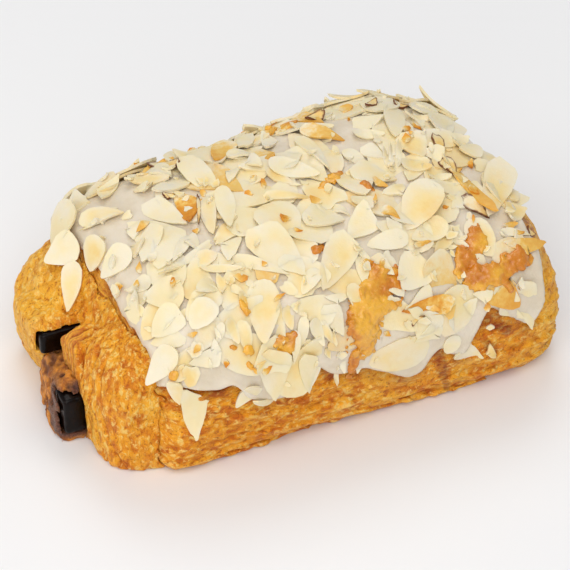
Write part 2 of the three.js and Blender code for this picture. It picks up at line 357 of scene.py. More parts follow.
def unevenness(p):
    """Gentle swells and dips of risen dough, in millimetres."""
    x, y, z = (p - SHIFT).T
    swell = np.sin(x / 13 + y / 19 + 0.6) * np.cos(z / 11 - x / 31)
    ripple = np.sin(x / 5.1 - z / 7.3 + 1.1) * np.sin(y / 6.2 + x / 17)
    return 0.8 * swell + 0.35 * ripple


def blended(values, base, part):
    """The values between the eight cubes round each point, in a block that repeats."""
    total = 0
    for corner in np.ndindex(2, 2, 2):
        weight = np.prod(np.where(corner, part, 1 - part), axis=1)
        total = total + weight * values[tuple(((base + corner) % values.shape).T)]
    return total


# the distance that stands for anywhere well away from a surface, and how far from a turn's
# surface its distances are worked out
FAR, DISTANCES_TO = 3.0, 4.0


class Block:
    """A block of space cut into cubes, each holding its distance to a surface."""

    def __init__(self, low, high, cube):
        self.cube = cube
        self.first = np.floor(np.array(low) / cube).astype(int)
        self.shape = tuple(np.ceil(np.array(high) / cube).astype(int) - self.first)

    def distance(self, points, quads):
        transform = openvdb.createLinearTransform(voxelSize=self.cube)
        grid = openvdb.FloatGrid.createLevelSetFromPolygons(
            points, quads=quads, transform=transform, halfWidth=DISTANCES_TO / self.cube
        )
        values = np.zeros(self.shape, np.float32)
        grid.copyToArray(values, ijk=tuple(int(i) for i in self.first))
        return values

    def axes(self):
        return [(self.first[i] + np.arange(self.shape[i])) * self.cube for i in range(3)]

    def near(self, values, reach):
        """The places where a surface is near, and their points."""
        where = np.abs(values) < reach
        index = np.argwhere(where)
        return where, (index + self.first) * self.cube

    def lookup(self, values, points):
        """The values at any points, blended between the cubes round each."""
        place = np.clip(points / self.cube - self.first, 0, np.array(self.shape) - 1.001)
        base = place.astype(int)
        return blended(values, base, place - base)

    def with_relief(self, values, reach, relief):
        """Distances with a relief on the surface, given as its height at some points."""
        where, spots = self.near(values, reach)
        made = values.copy()
        made[where] -= relief(spots).astype(np.float32)
        return made

    def surface(self, values, simplify):
        """The surface where the distance is nothing, as points, triangles and quads."""
        grid = openvdb.FloatGrid(FAR)
        grid.transform = openvdb.createLinearTransform(voxelSize=self.cube)
        held = np.clip(values, -FAR, FAR).astype(np.float32)
        for axis in range(3):
            edge = [slice(None)] * 3
            for side in (0, -1):
                edge[axis] = side
                held[tuple(edge)] = FAR
        grid.copyFromArray(held, ijk=tuple(int(i) for i in self.first))
        return grid.convertToPolygons(isovalue=0.0, adaptivity=simplify)


def outward(points, triangles, quads):
    """Faces as lists, all turned so that they enclose the volume from outside."""
    split = np.concatenate([triangles, quads[:, [0, 1, 2]], quads[:, [0, 2, 3]]])
    a, b, c = (points[split[:, i]] for i in range(3))
    volume = np.einsum("ij,ij->i", a, np.cross(b, c)).sum()
    step = 1 if volume > 0 else -1
    return [f[::step] for f in triangles.tolist()] + [f[::step] for f in quads.tolist()]


def surfaced(name, surface, marks=None):
    """A smooth closed piece from a block's surface, with marks on its points for its look."""
    points, triangles, quads = surface
    mesh = bpy.data.meshes.new(name)
    mesh.from_pydata((points * MM).tolist(), [], outward(points, triangles, quads))
    mesh.polygons.foreach_set("use_smooth", [True] * len(mesh.polygons))
    for mark, values in (marks or {}).items():
        layer = mesh.attributes.new(mark, "FLOAT", "POINT")
        layer.data.foreach_set("value", np.asarray(values, np.float32))
    mesh.update()
    return link(name, mesh)


def corners_of(piece):
    """The points of a piece's mesh, in millimetres."""
    corners = np.empty(len(piece.data.vertices) * 3, np.float32)
    piece.data.vertices.foreach_get("co", corners)
    return corners.reshape(-1, 3) / MM


# noise repeats after this many cells each way, and is read from well inside them
NOISE_CELLS, NOISE_START = (32, 32, 32), 100.0


def lattice_noise(points, size, seed, stretch=(1, 1, 1)):
    """Soft noise from -1 to 1 whose lumps measure size; stretch lengthens them."""
    values = np.random.default_rng(seed).uniform(-1, 1, NOISE_CELLS)
    place = points / (size * np.array(stretch)) + NOISE_START
    base = np.floor(place).astype(int)
    part = place - base
    return blended(values, base, part * part * (3 - 2 * part))


def lumps(points, *noises):
    """A sum of soft noises, each given as its height, size and seed, and its stretch if any."""
    return sum(height * lattice_noise(points, *noise) for height, *noise in noises)


def cell_noise(points, size, seed, stretch=(1, 1, 1)):
    """Distance to the nearest of scattered spots, in cells, and that spot's own number."""
    rng = np.random.default_rng(seed)
    jitter, own = rng.uniform(0, 1, (*NOISE_CELLS, 3)), rng.uniform(0, 1, NOISE_CELLS)
    place = points / (size * np.array(stretch)) + NOISE_START
    base = np.floor(place).astype(int)
    nearest, number = np.full(len(points), 9.0), np.zeros(len(points))
    for corner in np.ndindex(3, 3, 3):
        cell = base + np.array(corner) - 1
        wrapped = tuple((cell % NOISE_CELLS).T)
        apart = np.linalg.norm(cell + jitter[wrapped] - place, axis=1)
        closer = apart < nearest
        nearest = np.where(closer, apart, nearest)
        number = np.where(closer, own[wrapped], number)
    return nearest, number


def smooth_step(value, low, high):
    share = np.clip((value - low) / (high - low), 0, 1)
    return share * share * (3 - 2 * share)


def joined(*distances):
    return np.minimum.reduce(distances)


def softly_joined(first, second, radius):
    share = np.clip(0.5 + 0.5 * (second - first) / radius, 0, 1)
    return second + (first - second) * share - radius * share * (1 - share)


def held_in(values, limit, radius=1.2):
    """Distances cut off by a limit, with the edge of the cut rounded."""
    return -softly_joined(-values, -limit, radius)


SURFACES = {name: turn_surface(turn) for name, turn in TURNS.items()}

# The batons' sections (across, high) and middles (y, z), and how clear of them the dough is
BATONS = {"baton_upper": ((11, 6.2), (6.9, 19.8)), "baton_lower": ((6.2, 11), (-9.4, 8.2))}
CLEARANCE = 0.3


def past_batons(y, z):
    """For each baton, how far points lie past its sides, and past its top and bottom."""
    for (across, high), (middle_y, middle_z) in BATONS.values():
        yield np.abs(y - middle_y) - across / 2, np.abs(z - middle_z) - high / 2


def ring_depth(p, turn):
    """How deep a point lies under a turn's flank, in millimetres, ignoring its end."""
    x, y, z = (p - SHIFT).T
    wide, above, _ = turn_section(turn, np.clip(x, *np.array(turn["span"]) * 0.8))
    reach = np.where(z > turn["middle"][1], above, BELOW)
    aside = np.abs((y - turn["middle"][0]) / wide) ** (2 / SECTION)
    over = np.abs((z - turn["middle"][1]) / reach) ** (2 / SECTION)
    return (1 - (aside + over) ** (SECTION / 2)) * turn["width"] / 2


# ---------------------------------------------------------------------------------------
# The outer wrap: the last turn of dough, egg-washed and baked deep gold. Its flanks are
# flaky in lines along the roll, its cut edge shows at the left, and its right end shows
# the edges of its layers.
# ---------------------------------------------------------------------------------------

FLANK_TOP, FLANK_FADE = 34, 8
LIP = {"height": 2.7, "deep": 1.3, "half": 0.5}
LEAF = {"high": 0.9, "apart": 5.5}
BLISTER = {"high": 0.62, "apart": 3.0}
END_LAYERS = {"high": 0.42, "pitch": 1.9}


def wrap_relief(p):
    """Height of the wrap's crust over its smooth form, in millimetres."""
    x, y, z = p.T
    swell = lumps(p, (0.4, 6.5, 11, (2.2, 1, 1)), (0.34, 2.9, 12, (1.6, 1, 1)))
    fine = 0.34 * lattice_noise(p, 1.5, 13, (1.6, 1, 0.8))
    # layers that end in a small step, like the edges of leaves lying over each other
    level = z + 0.10 * x + 2.4 * lattice_noise(p, 9, 14, (2.5, 1, 1))
    leaf = (level / LEAF["apart"]) % 1.0
    patch = smooth_step(lattice_noise(p, 12, 15, (1.6, 1, 1)), -0.2, 0.3)
    leaves = LEAF["high"] * (leaf**2 - 0.33) * patch
    # blisters, where steam lifted the outermost leaf
    apart, number = cell_noise(p, BLISTER["apart"], 16, (1.3, 1, 0.9))
    blister = BLISTER["high"] * np.clip(1 - (apart / (0.3 + 0.3 * number)) ** 2, 0, 1)
    blister *= smooth_step(lattice_noise(p, 10, 17), -0.4, 0.15)
    # the lip: a leaf that stands off low on the flank
    lip_line = LIP["height"] + 1.0 * lattice_noise(p, 8, 18) + 0.02 * x
    gap = np.exp(-(((z - lip_line) / LIP["half"]) ** 2))
    lip = -LIP["deep"] * gap * smooth_step(lattice_noise(p, 9, 19), -0.15, 0.2)
    flank = smooth_step(z, FLANK_TOP, FLANK_TOP - FLANK_FADE)
    return swell + fine * flank + (leaves + blister + lip) * flank - 0.3


MAIN = Block((-66, -42, -2), (66, 42, 56), 0.5)
main_turns = {name: MAIN.distance(*surface) for name, surface in SURFACES.items()}
RIGHT_END_FROM = RIGHT - 5
# how far from a turn's plain surface its relief is worked out
RELIEF_REACH = 2.4


def end_zone(p):
    """1 on the wrap's right end, 0 along its flanks."""
    return smooth_step(p[:, 0] + SKEW * p[:, 1], RIGHT_END_FROM, RIGHT_END_FROM + 3)


def wrap_and_end_relief(p):
    """The crust's relief, and ridges of the layers that show their edges on the right end."""
    end, wander = end_zone(p), lumps(p, (0.8, 5, 21), (0.4, 2.2, 22))
    ridges = np.sin(2 * math.pi * (ring_depth(p, TURNS["wrap"]) + wander) / END_LAYERS["pitch"])
    return wrap_relief(p) * (1 - 0.7 * end) + END_LAYERS["high"] * ridges * end


def baked(block, values, relief):
    """A turn's distances with the dough's swells and its own relief on its surface."""
    return block.with_relief(values, RELIEF_REACH, lambda p: unevenness(p) + relief(p))


# how far inside the CAD's box the dough stays along X and Y
DOUGH_INSIDE = (0.1, 0.9)


def cut_clear(block, values):
    """Cuts a block's values flat at the table and open at the batons' channels."""
    x, y, z = np.meshgrid(*block.axes(), indexing="ij", sparse=True)
    values = np.maximum(values, -z)
    for axis, most, inside in zip((x, y), cad_high, DOUGH_INSIDE):
        values = held_in(values, np.abs(axis) - most / MM + inside)
    # the dough closes over the channels' left ends
    before = baton_low[0] - CLEARANCE - x
    for aside, over in past_batons(y - SHIFT[1], z - SHIFT[2]):
        channel = np.maximum(np.maximum(aside, over) - CLEARANCE, before)
        values = np.maximum(values, -channel)
    return values


# at the right end the turns inside the wrap stand out of it, and are one piece with it
right_half = MAIN.axes()[0][:, None, None] > 20
inside_it = [np.where(right_half, main_turns[name], DISTANCES_TO) for name in ("second", "core")]
wrap = baked(MAIN, joined(main_turns["wrap"], *inside_it), wrap_and_end_relief)
wrap_surface = MAIN.surface(cut_clear(MAIN, wrap), 0.02)
points = wrap_surface[0]
end = end_zone(points)
left_cut = smooth_step(points[:, 0] + SKEW * points[:, 1], LEFT + 17.2, LEFT + 15.6)
wrap_marks = {
    "relief": wrap_relief(points),
    "layers": np.maximum(end, left_cut),
    "depth": ring_depth(points, TURNS["wrap"]),
    "crumb": smooth_step(MAIN.lookup(main_turns["core"], points), 1.0, 0.2) * end,
    # painted light: the crust is made yellower towards the right end, a painted pool of light
    "painted_light": 0.8 * smooth_step(points[:, 0], 44, 56),
}
outer_wrap = surfaced("outer_wrap", wrap_surface, wrap_marks)

CRUST = {
    "gold": srgb(246, 166, 34),
    "amber": srgb(222, 130, 16),
    "brown": srgb(176, 82, 6),
    "dark": srgb(92, 36, 4),
    "pale": srgb(255, 214, 120),
    "yellow": srgb(255, 196, 62),
    "rust": srgb(204, 98, 10),
    "rose": srgb(196, 112, 62),
    "red": srgb(138, 52, 6),
}


def crust_look(grain):
    """Egg-washed crust: leaves and blisters, pale where they stand up and brown between, partly as painted
    highlight and painted shade.

    grain is how far the leaves' grain is drawn out along X, Y and Z."""

    def build(nodes):
        where = object_coordinates(nodes)
        drawn = nodes.add("ShaderNodeVectorMath", {0: where, 1: grain}, operation="DIVIDE").outputs[0]
        relief, layers = nodes.attribute("relief"), nodes.attribute("layers")
        painted_light, damp = nodes.attribute("painted_light"), nodes.attribute("damp")
        broad = nodes.noise(where, 0.07, 3.0, 0.5)
        patches = nodes.noise(drawn, 0.3, 4.0, 0.6, 0.3)
        flakes = nodes.noise(drawn, 0.6, 4.0, 0.62, 1.1)
        grit = nodes.noise(where, 2.6, 3.0, 0.6)
        pores = nodes.noise(drawn, 1.1, 2.0, 0.5)
        warp = nodes.add("ShaderNodeTexNoise", {"Vector": where, "Scale": 0.6, "Detail": 3.0})
        warped = nodes.add(
            "ShaderNodeVectorMath",
            {0: warp.outputs["Color"], 1: (2.2, 2.2, 2.2), 2: drawn},
            operation="MULTIPLY_ADD",
        ).outputs[0]
        blisters = nodes.span(nodes.cells(warped, 0.6, "SMOOTH_F1"), 0.5, 0.15)
        # a height of about 0 to 1 that both the colour and the bump follow
        height = nodes.weighted((flakes, 0.74), (grit, 0.26), (blisters, 0.12))
        colour = nodes.mix(nodes.span(patches, 0.36, 0.62), CRUST["amber"], CRUST["gold"])
        colour = nodes.tinted(
            colour,
            (broad, 0.48, 0.68, 0.5, CRUST["yellow"]),
            (patches, 0.5, 0.34, 0.6, CRUST["rust"]),
        )
        # painted light: yellow laid over the crust where the mark for painted light is high
        colour = nodes.mix(nodes.math("MULTIPLY", painted_light, 0.6), colour, CRUST["yellow"])
        # pale on the raised flakes and leaves, brown in the hollows and grooves between them: partly baked
        # colour, partly painted highlight on the raised parts and painted shade in the hollows
        colour = nodes.tinted(
            colour,
            (height, 0.54, 0.66, 0.8, CRUST["pale"]),
            (height, 0.49, 0.37, 0.8, CRUST["brown"]),
            (relief, 0.15, 0.9, 0.5, CRUST["pale"]),
            (relief, -0.5, -1.2, 0.85, CRUST["brown"]),
            (pores, 0.34, 0.24, 0.6, CRUST["dark"]),
        )
        reddened = nodes.math("MULTIPLY", damp, nodes.span(patches, 0.3, 0.6, 1.0, 0.5))
        colour = nodes.mix(reddened, colour, CRUST["red"])
        # leaf edges as lines that run with the layers
        lines = nodes.add("ShaderNodeTexNoise", noise_dimensions="1D")
        wander = nodes.math("MULTIPLY", nodes.noise(where, 0.3, 2.0), 1.4)
        nodes.set(lines.inputs["W"], nodes.math("ADD", nodes.attribute("depth"), wander))
        lines.inputs["Scale"].default_value = 1.1
        lines.inputs["Detail"].default_value = 3.0
        edge = lines.outputs["Fac"]
        leafed = nodes.mix(nodes.span(edge, 0.4, 0.6), CRUST["rose"], CRUST["yellow"])
        leafed = nodes.mix(nodes.span(edge, 0.42, 0.3), leafed, CRUST["brown"])
        colour = nodes.mix(nodes.math("MULTIPLY", layers, 0.75), colour, leafed)
        crumb = nodes.mix(flakes, srgb(110, 58, 22), srgb(206, 136, 66))
        colour = nodes.mix(nodes.attribute("crumb"), colour, crumb)
        rough = nodes.span(damp, 0.0, 0.8, 0.52, 0.28)
        return {"Base Color": colour, "Roughness": rough, "Normal": nodes.bump(height, 1.15, 1.0)}

    return build


CRUST_FINISH = {
    "Subsurface Weight": 0.08,
    "Subsurface Radius": (1.0, 0.4, 0.12),
    "Subsurface Scale": 1.2 * MM,
    "Specular IOR Level": 0.2,
    "Coat Weight": 0.08,
    "Coat Roughness": 0.3,
}
WRAP_GRAIN, LOBE_GRAIN = (1.15, 1.0, 0.85), (0.7, 0.7, 1.25)
outer_wrap.data.materials.append(material("crust_wrap", crust_look(WRAP_GRAIN), **CRUST_FINISH))
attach(outer_wrap, "root")
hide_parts("pastry")

# ---------------------------------------------------------------------------------------
# The inner turns at the left end: the second turn and its two lobes, which swelled out of
# the roll in the oven, the dough that curls round the upper baton, and the thin leaves and
# strips that stand on edge in front of it.
# ---------------------------------------------------------------------------------------

INNER = Block((-65, -41, -1), (-36, 41, 52), 0.4)
inner = {name: INNER.distance(*surface) for name, surface in SURFACES.items()}

# grooves between the leaves: where, how deep, half how wide
LEAF_GROOVES = [(-1.8, 1.5, 0.5), (-3.9, 1.6, 0.45), (-6.2, 1.7, 0.5), (-8.6, 1.5, 0.5),
                (-11.4, 1.3, 0.5), (-16.5, 0.8, 0.5), (-21.0, 1.0, 0.55)]


def leaf_place(p):
    """Where a point lies across the leaves on edge, which lean forwards as they go down."""
    return p[:, 1] - 0.33 * (p[:, 2] - 20) + 0.7 * lattice_noise(p, 4, 34)


def inner_relief(p):
    """Height of the lobes' crust over their smooth form, in millimetres."""
    x, y, z = p.T
    rough = lumps(p, (0.36, 5, 31), (0.3, 2.3, 32, (1, 1, 1.6)), (0.3, 1.1, 33, (1, 1, 1.8)))
    place, grooves = leaf_place(p), 0
    for at, deep, half in LEAF_GROOVES:
        grooves = grooves - deep * np.exp(-(((place - at) / half) ** 2))
    facing = smooth_step(x, -46, -52)
    streaks = 0.25 * lattice_noise(p, 1.6, 35, (1, 0.8, 4))
    return rough + (grooves + streaks) * facing


inner_dough = joined(
    inner["second"],
    inner["curl"],
    inner["leaves"],
    inner["strips"],
    softly_joined(inner["back_lobe"], inner["front_lobe"], 0.6),
)
wrap_here = baked(INNER, inner["wrap"], wrap_relief)
x_grid = INNER.axes()[0][:, None, None]
# how far in from the left the lobes and the crumb reach, under the wrap
LOBES_TO, CRUMB_TO = -39, -47
SEAM_GAP = 0.12
lobes = np.maximum(baked(INNER, inner_dough, inner_relief), SEAM_GAP - wrap_here)
lobes = cut_clear(INNER, np.maximum(lobes, x_grid - LOBES_TO))
lobes_surface = INNER.surface(lobes, 0.01)
points = lobes_surface[0]
core_distance = INNER.lookup(inner["core"], points)
among_leaves = smooth_step(leaf_place(points), -11, -8) * smooth_step(points[:, 1], 1, -1)
lobe_marks = {
    "relief": inner_relief(points),
    "layers": among_leaves * smooth_step(points[:, 0], -50, -54),
    "depth": leaf_place(points),
    "crumb": smooth_step(core_distance, 0.4, 0.0) * 0.6 * smooth_step(points[:, 1], 3, 0),
    # painted light: the back lobe and the low flanks are made yellower, as if lit more strongly
    "painted_light": 0.12 + 0.85 * smooth_step(points[:, 1], 0, 7) * smooth_step(points[:, 2], 38, 24),
}
inner_turns = surfaced("inner_turns", lobes_surface, lobe_marks)
inner_turns.data.materials.append(material("crust_lobes", crust_look(LOBE_GRAIN), **CRUST_FINISH))
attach(inner_turns, "root")
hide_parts("pastry")

# ---------------------------------------------------------------------------------------
# The crumb between the batons at the left end: the torn middle of the roll, rough and
# stained by chocolate that melted out.
# ---------------------------------------------------------------------------------------


def crumb_relief(p):
    apart, number = cell_noise(p, 2.1, 41, (1, 1, 1.5))
    pits = -0.9 * np.clip(1 - (apart / (0.35 + 0.25 * number)) ** 2, 0, 1)
    return pits + lumps(p, (0.55, 2.6, 42), (0.3, 1.2, 43)) - 0.3


def chocolate_stain(p):
    """How stained the crumb is by chocolate that ran out of the batons, 0 to 1."""
    x, y, z = (p - SHIFT).T
    near = [
        np.hypot(np.maximum(aside, 0), np.maximum(over, 0)) for aside, over in past_batons(y, z)
    ]
    ran = joined(*near) + 1.6 * lattice_noise(p, 3.5, 44)
    return smooth_step(ran, 3.0, 0.6)


crumb = baked(INNER, inner["core"], crumb_relief)
crumb = np.maximum(crumb, SEAM_GAP - joined(lobes, wrap_here))
crumb = cut_clear(INNER, np.maximum(crumb, x_grid - CRUMB_TO))
crumb_surface = INNER.surface(crumb, 0.01)
points = crumb_surface[0]
crumb_marks = {"relief": crumb_relief(points), "stain": chocolate_stain(points)}
crumb_piece = surfaced("crumb", crumb_surface, crumb_marks)


def crumb_look(nodes):
    where = object_coordinates(nodes)
    relief = nodes.attribute("relief")
    patches = nodes.noise(where, 0.35, 4.0, 0.6, 0.5)
    specks = nodes.noise(where, 1.6, 4.0, 0.7)
    colour = nodes.mix(nodes.span(patches, 0.38, 0.62), srgb(160, 86, 16), srgb(232, 148, 44))
    # darkest brown in the pits of the torn crumb: painted shade in its hollows
    colour = nodes.tinted(
        colour,
        (specks, 0.55, 0.72, 0.8, srgb(236, 186, 124)),
        (relief, -0.2, -1.1, 0.8, srgb(92, 42, 12)),
    )
    stained = nodes.mix(nodes.span(specks, 0.4, 0.62), srgb(40, 16, 10), srgb(112, 62, 44))
    stain = nodes.attribute("stain")
    colour = nodes.mix(nodes.math("MULTIPLY", stain, 0.9), colour, stained)
    return {
        "Base Color": colour,
        "Roughness": nodes.span(stain, 0, 1, 0.6, 0.3),
        "Normal": nodes.bump(specks, 0.6, 0.9),
    }


crumb_piece.data.materials.append(material("crumb", crumb_look))
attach(crumb_piece, "root")
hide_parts("pastry")

# ---------------------------------------------------------------------------------------
# The two batons: dark chocolate bars that bake in the dough and keep their shape. They are
# nearly black, and dusty brown on their right ends.
# ---------------------------------------------------------------------------------------

BATON_EDGE, BATON_CUBE, BATON_DENTS = 0.9, 0.5, 0.12


def baton_relief(p):
    broad, fine = lattice_noise(p, 3.0, 51, (1, 1, 2)), lattice_noise(p, 1.2, 52)
    return -BATON_DENTS * (np.abs(broad) + 0.5 * np.abs(fine))


def baton_surface(low, high):
    """A baton as moulded, with softly rounded edges and a slightly uneven skin."""
    block = Block(low - 2, high + 2, BATON_CUBE)
    x, y, z = np.meshgrid(*block.axes(), indexing="ij", sparse=True)
    middle, half = (low + high) / 2, (high - low) / 2 - BATON_EDGE
    apart = [np.abs(c - m) - h for c, m, h in zip((x, y, z), middle, half)]
    outside = np.sqrt(sum(np.maximum(a, 0) ** 2 for a in apart))
    inside = np.minimum(np.maximum.reduce(np.broadcast_arrays(*apart)), 0)
    distance = (outside + inside - BATON_EDGE).astype(np.float32)
    return block.surface(block.with_relief(distance, 1.0, baton_relief), 0.05)


def chocolate_look(nodes):
    where = object_coordinates(nodes)
    smear = nodes.noise(where, 0.5, 3.0, 0.6)
    dust = nodes.noise(where, 1.7, 4.0, 0.7)
    end = nodes.attribute("end")
    colour = nodes.mix(nodes.span(smear, 0.4, 0.7), srgb(7, 2, 1), srgb(20, 8, 5))
    dusty = nodes.mix(dust, srgb(50, 32, 24), srgb(118, 96, 78))
    share = nodes.math("MULTIPLY", nodes.span(dust, 0.4, 0.62), end)
    colour = nodes.mix(share, colour, dusty)
    rough = nodes.span(end, 0.0, 1.0, 0.25, 0.6)
    return {"Base Color": colour, "Roughness": rough, "Normal": nodes.bump(smear, 0.2, 0.4)}


chocolate = material("chocolate", chocolate_look, **{"Specular IOR Level": 0.14})
for node in BATONS:
    low, high = in_mm(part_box(node))
    bar_surface = baton_surface(low, high)
    near_end = smooth_step(bar_surface[0][:, 0], high[0] - 1.2, high[0] - 0.3)
    bar = surfaced(node + "_bar", bar_surface, {"end": near_end})
    bar.data.materials.append(chocolate)
    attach(bar, "root")
    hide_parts(node)

# ---------------------------------------------------------------------------------------
# The icing: white sugar icing poured over the baked roll, about a millimetre and a half
# thick, which ran down the flanks in rounded tongues and set.
# ---------------------------------------------------------------------------------------

ICING = {"thick": 1.5, "under": 0.3, "round": 1.7, "short": 3.4, "right": 52.3}
# how far inside the CAD's box it stays along Y, and how far over the roll's top it may lie
ICING_INSIDE, ICING_ROOF = 0.8, 4
ICING_EDGE = {"height": 21, "front": -3, "left": 16, "right": 13, "tongue": 1.7}
# where the photograph shows the icing's rim along the front, from left to right
ICING_RIM_SEEN = [
    (124, 322), (133, 345), (146, 372), (152, 392), (160, 384), (180, 384), (205, 388),
    (225, 387), (232, 381), (242, 384), (246, 396), (262, 400), (285, 396), (296, 386),
    (306, 372), (318, 364), (330, 373), (345, 371), (362, 366), (385, 372), (405, 377),
    (418, 372), (431, 352), (440, 347), (452, 356), (468, 352), (474, 338), (470, 324),
    (479, 307), (492, 306), (510, 317), (525, 326), (534, 322), (536, 300), (533, 275),
    (534, 255), (536, 240),
]

# the roll without its crust's relief, which the icing and the almonds lie on
smooth_roll = softly_joined(
    joined(main_turns["wrap"], main_turns["second"]),
    softly_joined(main_turns["back_lobe"], main_turns["front_lobe"], 3.0),
    2.0,
)
smooth_roll = MAIN.with_relief(smooth_roll, 3.6, unevenness)
points, triangles, quads = MAIN.surface(smooth_roll, 0.3)
roll_tree = BVHTree.FromPolygons(points.tolist(), outward(points, triangles, quads))

rim_places = [roll_tree.ray_cast(CAMERA_AT, sight_line(pixel))[0] for pixel in ICING_RIM_SEEN]
rim_places = np.array([place for place in rim_places if place is not None])
rim_angles = np.arctan2(rim_places[:, 1], rim_places[:, 0])
rim_order = np.argsort(rim_angles)
rim_angles, rim_heights = rim_angles[rim_order], rim_places[rim_order, 2]

# the rim between the pixels, with its corners rounded off as the thick icing's were
RIM_STEPS = np.linspace(rim_angles[0] - 0.2, rim_angles[-1] + 0.2, 900)
RIM_BELL = np.exp(-(np.linspace(-2.5, 2.5, 25) ** 2) / 2)
rim_smooth = np.convolve(
    np.pad(np.interp(RIM_STEPS, rim_angles, rim_heights), 12, mode="edge"),
    RIM_BELL / RIM_BELL.sum(),
    mode="valid",
)


def icing_edge(angle):
    """Height of the icing's lower edge at a direction seen from above."""
    front = np.maximum(0, -np.sin(angle))
    left = np.maximum(0, -np.cos(angle)) ** 4
    right = np.maximum(0, np.cos(angle)) ** 6
    tongues = np.sin(9 * angle + 0.7) + 0.7 * np.sin(17 * angle + 2.2)
    edge = ICING_EDGE
    level = edge["height"] + edge["front"] * front + edge["left"] * left + edge["right"] * right
    level = level + edge["tongue"] * tongues * (1 - left)
    seen = np.interp(angle, RIM_STEPS, rim_smooth)
    inside = smooth_step(angle, rim_angles[0] - 0.05, rim_angles[0] + 0.05)
    inside = inside * smooth_step(angle, rim_angles[-1] + 0.05, rim_angles[-1] - 0.05)
    return level * (1 - inside) + seen * inside


def icing_inside(p):
    """How far a point lies inside the icing's rim, in millimetres."""
    inside = p[:, 2] - icing_edge(np.arctan2(p[:, 1], p[:, 0]))
    # at the left end it stops at the wrap's edge
    from_left = p[:, 0] + SKEW * p[:, 1] - TURNS["wrap"]["span"][0] - ICING["short"]
    from_left = from_left + 0.9 * lattice_noise(p, 6, 64)
    # and short of the right end, most of all at the front
    to_right = ICING["right"] + 6 * smooth_step(p[:, 1], -22, -6) - p[:, 0] - SKEW * p[:, 1]
    to_right = to_right + 0.9 * lattice_noise(p, 5, 66)
    return np.minimum.reduce([inside + 0.3 * lattice_noise(p, 3, 61), from_left, to_right])


def icing_thickness(p):
    inside = icing_inside(p)
    share = np.clip(inside / ICING["round"], -1, 1)
    rim = np.where(share > 0, np.sqrt(np.maximum(0, 1 - (1 - share) ** 2)), share)
    bead = 1 + 0.22 * np.exp(-(((inside - 1.8) / 1.2) ** 2))
    wave = 1 + 0.22 * lattice_noise(p, 7, 62) + 0.1 * lattice_noise(p, 3, 63)
    return rim * ICING["thick"] * wave * bead


where, spots = MAIN.near(smooth_roll, 3.4)
icing = np.full(MAIN.shape, FAR, np.float32)
thickness = icing_thickness(spots)
icing[where] = np.maximum(smooth_roll[where] - thickness, -smooth_roll[where] - ICING["under"])
icing[where] = np.maximum(icing[where], -thickness)
y_axis = np.abs(MAIN.axes()[1])[None, :, None]
icing = held_in(icing, y_axis - cad_high[1] / MM + ICING_INSIDE).astype(np.float32)
above = turn_section(TURNS["wrap"], MAIN.axes()[0] - SHIFT[0])[1]
roof = (WIDEST_AT + above + ICING_ROOF)[:, None, None]
icing[np.broadcast_to(MAIN.axes()[2][None, None, :] > roof, icing.shape)] = FAR
icing_surface = MAIN.surface(icing, 0.01)
icing_piece = surfaced("icing", icing_surface)

# syrup from the icing darkened the crust just below its rim
corners = corners_of(outer_wrap)
below_rim = -icing_inside(corners) + 1.5 * lattice_noise(corners, 4, 65)
damp = 0.75 * smooth_step(below_rim, 5.0, 0.5) * smooth_step(corners[:, 2], 8, 14)
# and ran down over the crust in a few places, each run with its width in pixels
SYRUP_SEEN = [
    [(434, 345, 9), (441, 362, 7), (446, 388, 4)],
    [(468, 332, 9), (486, 318, 9), (507, 327, 7)],
    [(486, 342, 6), (493, 353, 5)],
    [(318, 368, 5), (330, 375, 6)],
    [(137, 446, 3), (147, 461, 3)],
]
SYRUP = {"most": 0.95, "front": (-16, -20)}
seen_at = pixels_of(corners)
for run in SYRUP_SEEN:
    for start, finish in zip(np.array(run), np.array(run[1:])):
        way = finish[:2] - start[:2]
        share = np.clip((seen_at - start[:2]) @ way / (way @ way), 0, 1)
        apart = np.linalg.norm(seen_at - start[:2] - share[:, None] * way, axis=1)
        wide = start[2] + share * (finish[2] - start[2])
        wide = wide * (1 + 0.5 * lattice_noise(corners, 2.5, 67))
        on_front = smooth_step(corners[:, 1], *SYRUP["front"])
        damp = np.maximum(damp, SYRUP["most"] * on_front * smooth_step(apart / wide, 1.2, 0.5))
outer_wrap.data.attributes.new("damp", "FLOAT", "POINT").data.foreach_set(
    "value", (damp * (1 - wrap_marks["layers"])).astype(np.float32)
)


def icing_look(nodes):
    where = object_coordinates(nodes)
    broad = nodes.noise(where, 0.15, 3.0)
    fine = nodes.noise(where, 0.9, 3.0)
    colour = nodes.mix(nodes.span(broad, 0.35, 0.65), srgb(228, 216, 196), srgb(219, 205, 181))
    return {
        "Base Color": colour,
        "Roughness": nodes.span(fine, 0.3, 0.7, 0.3, 0.45),
        "Normal": nodes.bump(fine, 0.25, 0.5),
    }


ICING_FINISH = {
    "Subsurface Weight": 0.35,
    "Subsurface Radius": (1.0, 0.8, 0.55),
    "Subsurface Scale": 1.2 * MM,
    "Coat Weight": 0.15,
    "Coat Roughness": 0.2,
}
icing_piece.data.materials.append(material("icing", icing_look, **ICING_FINISH))
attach(icing_piece, "root")
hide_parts("icing_and_almonds")

# ---------------------------------------------------------------------------------------
# The flaked almonds: kernels cut into slices under a millimetre thick, pointed at one end
# and round at the other, many broken. They were strewn on the wet icing and lie over each
# other two or three deep; a few were browned in the oven and some keep a rim of skin.
# ---------------------------------------------------------------------------------------

SLICE_THICK = 0.6
SLICE_SIDES, CHIP_SIDES = 20, 8
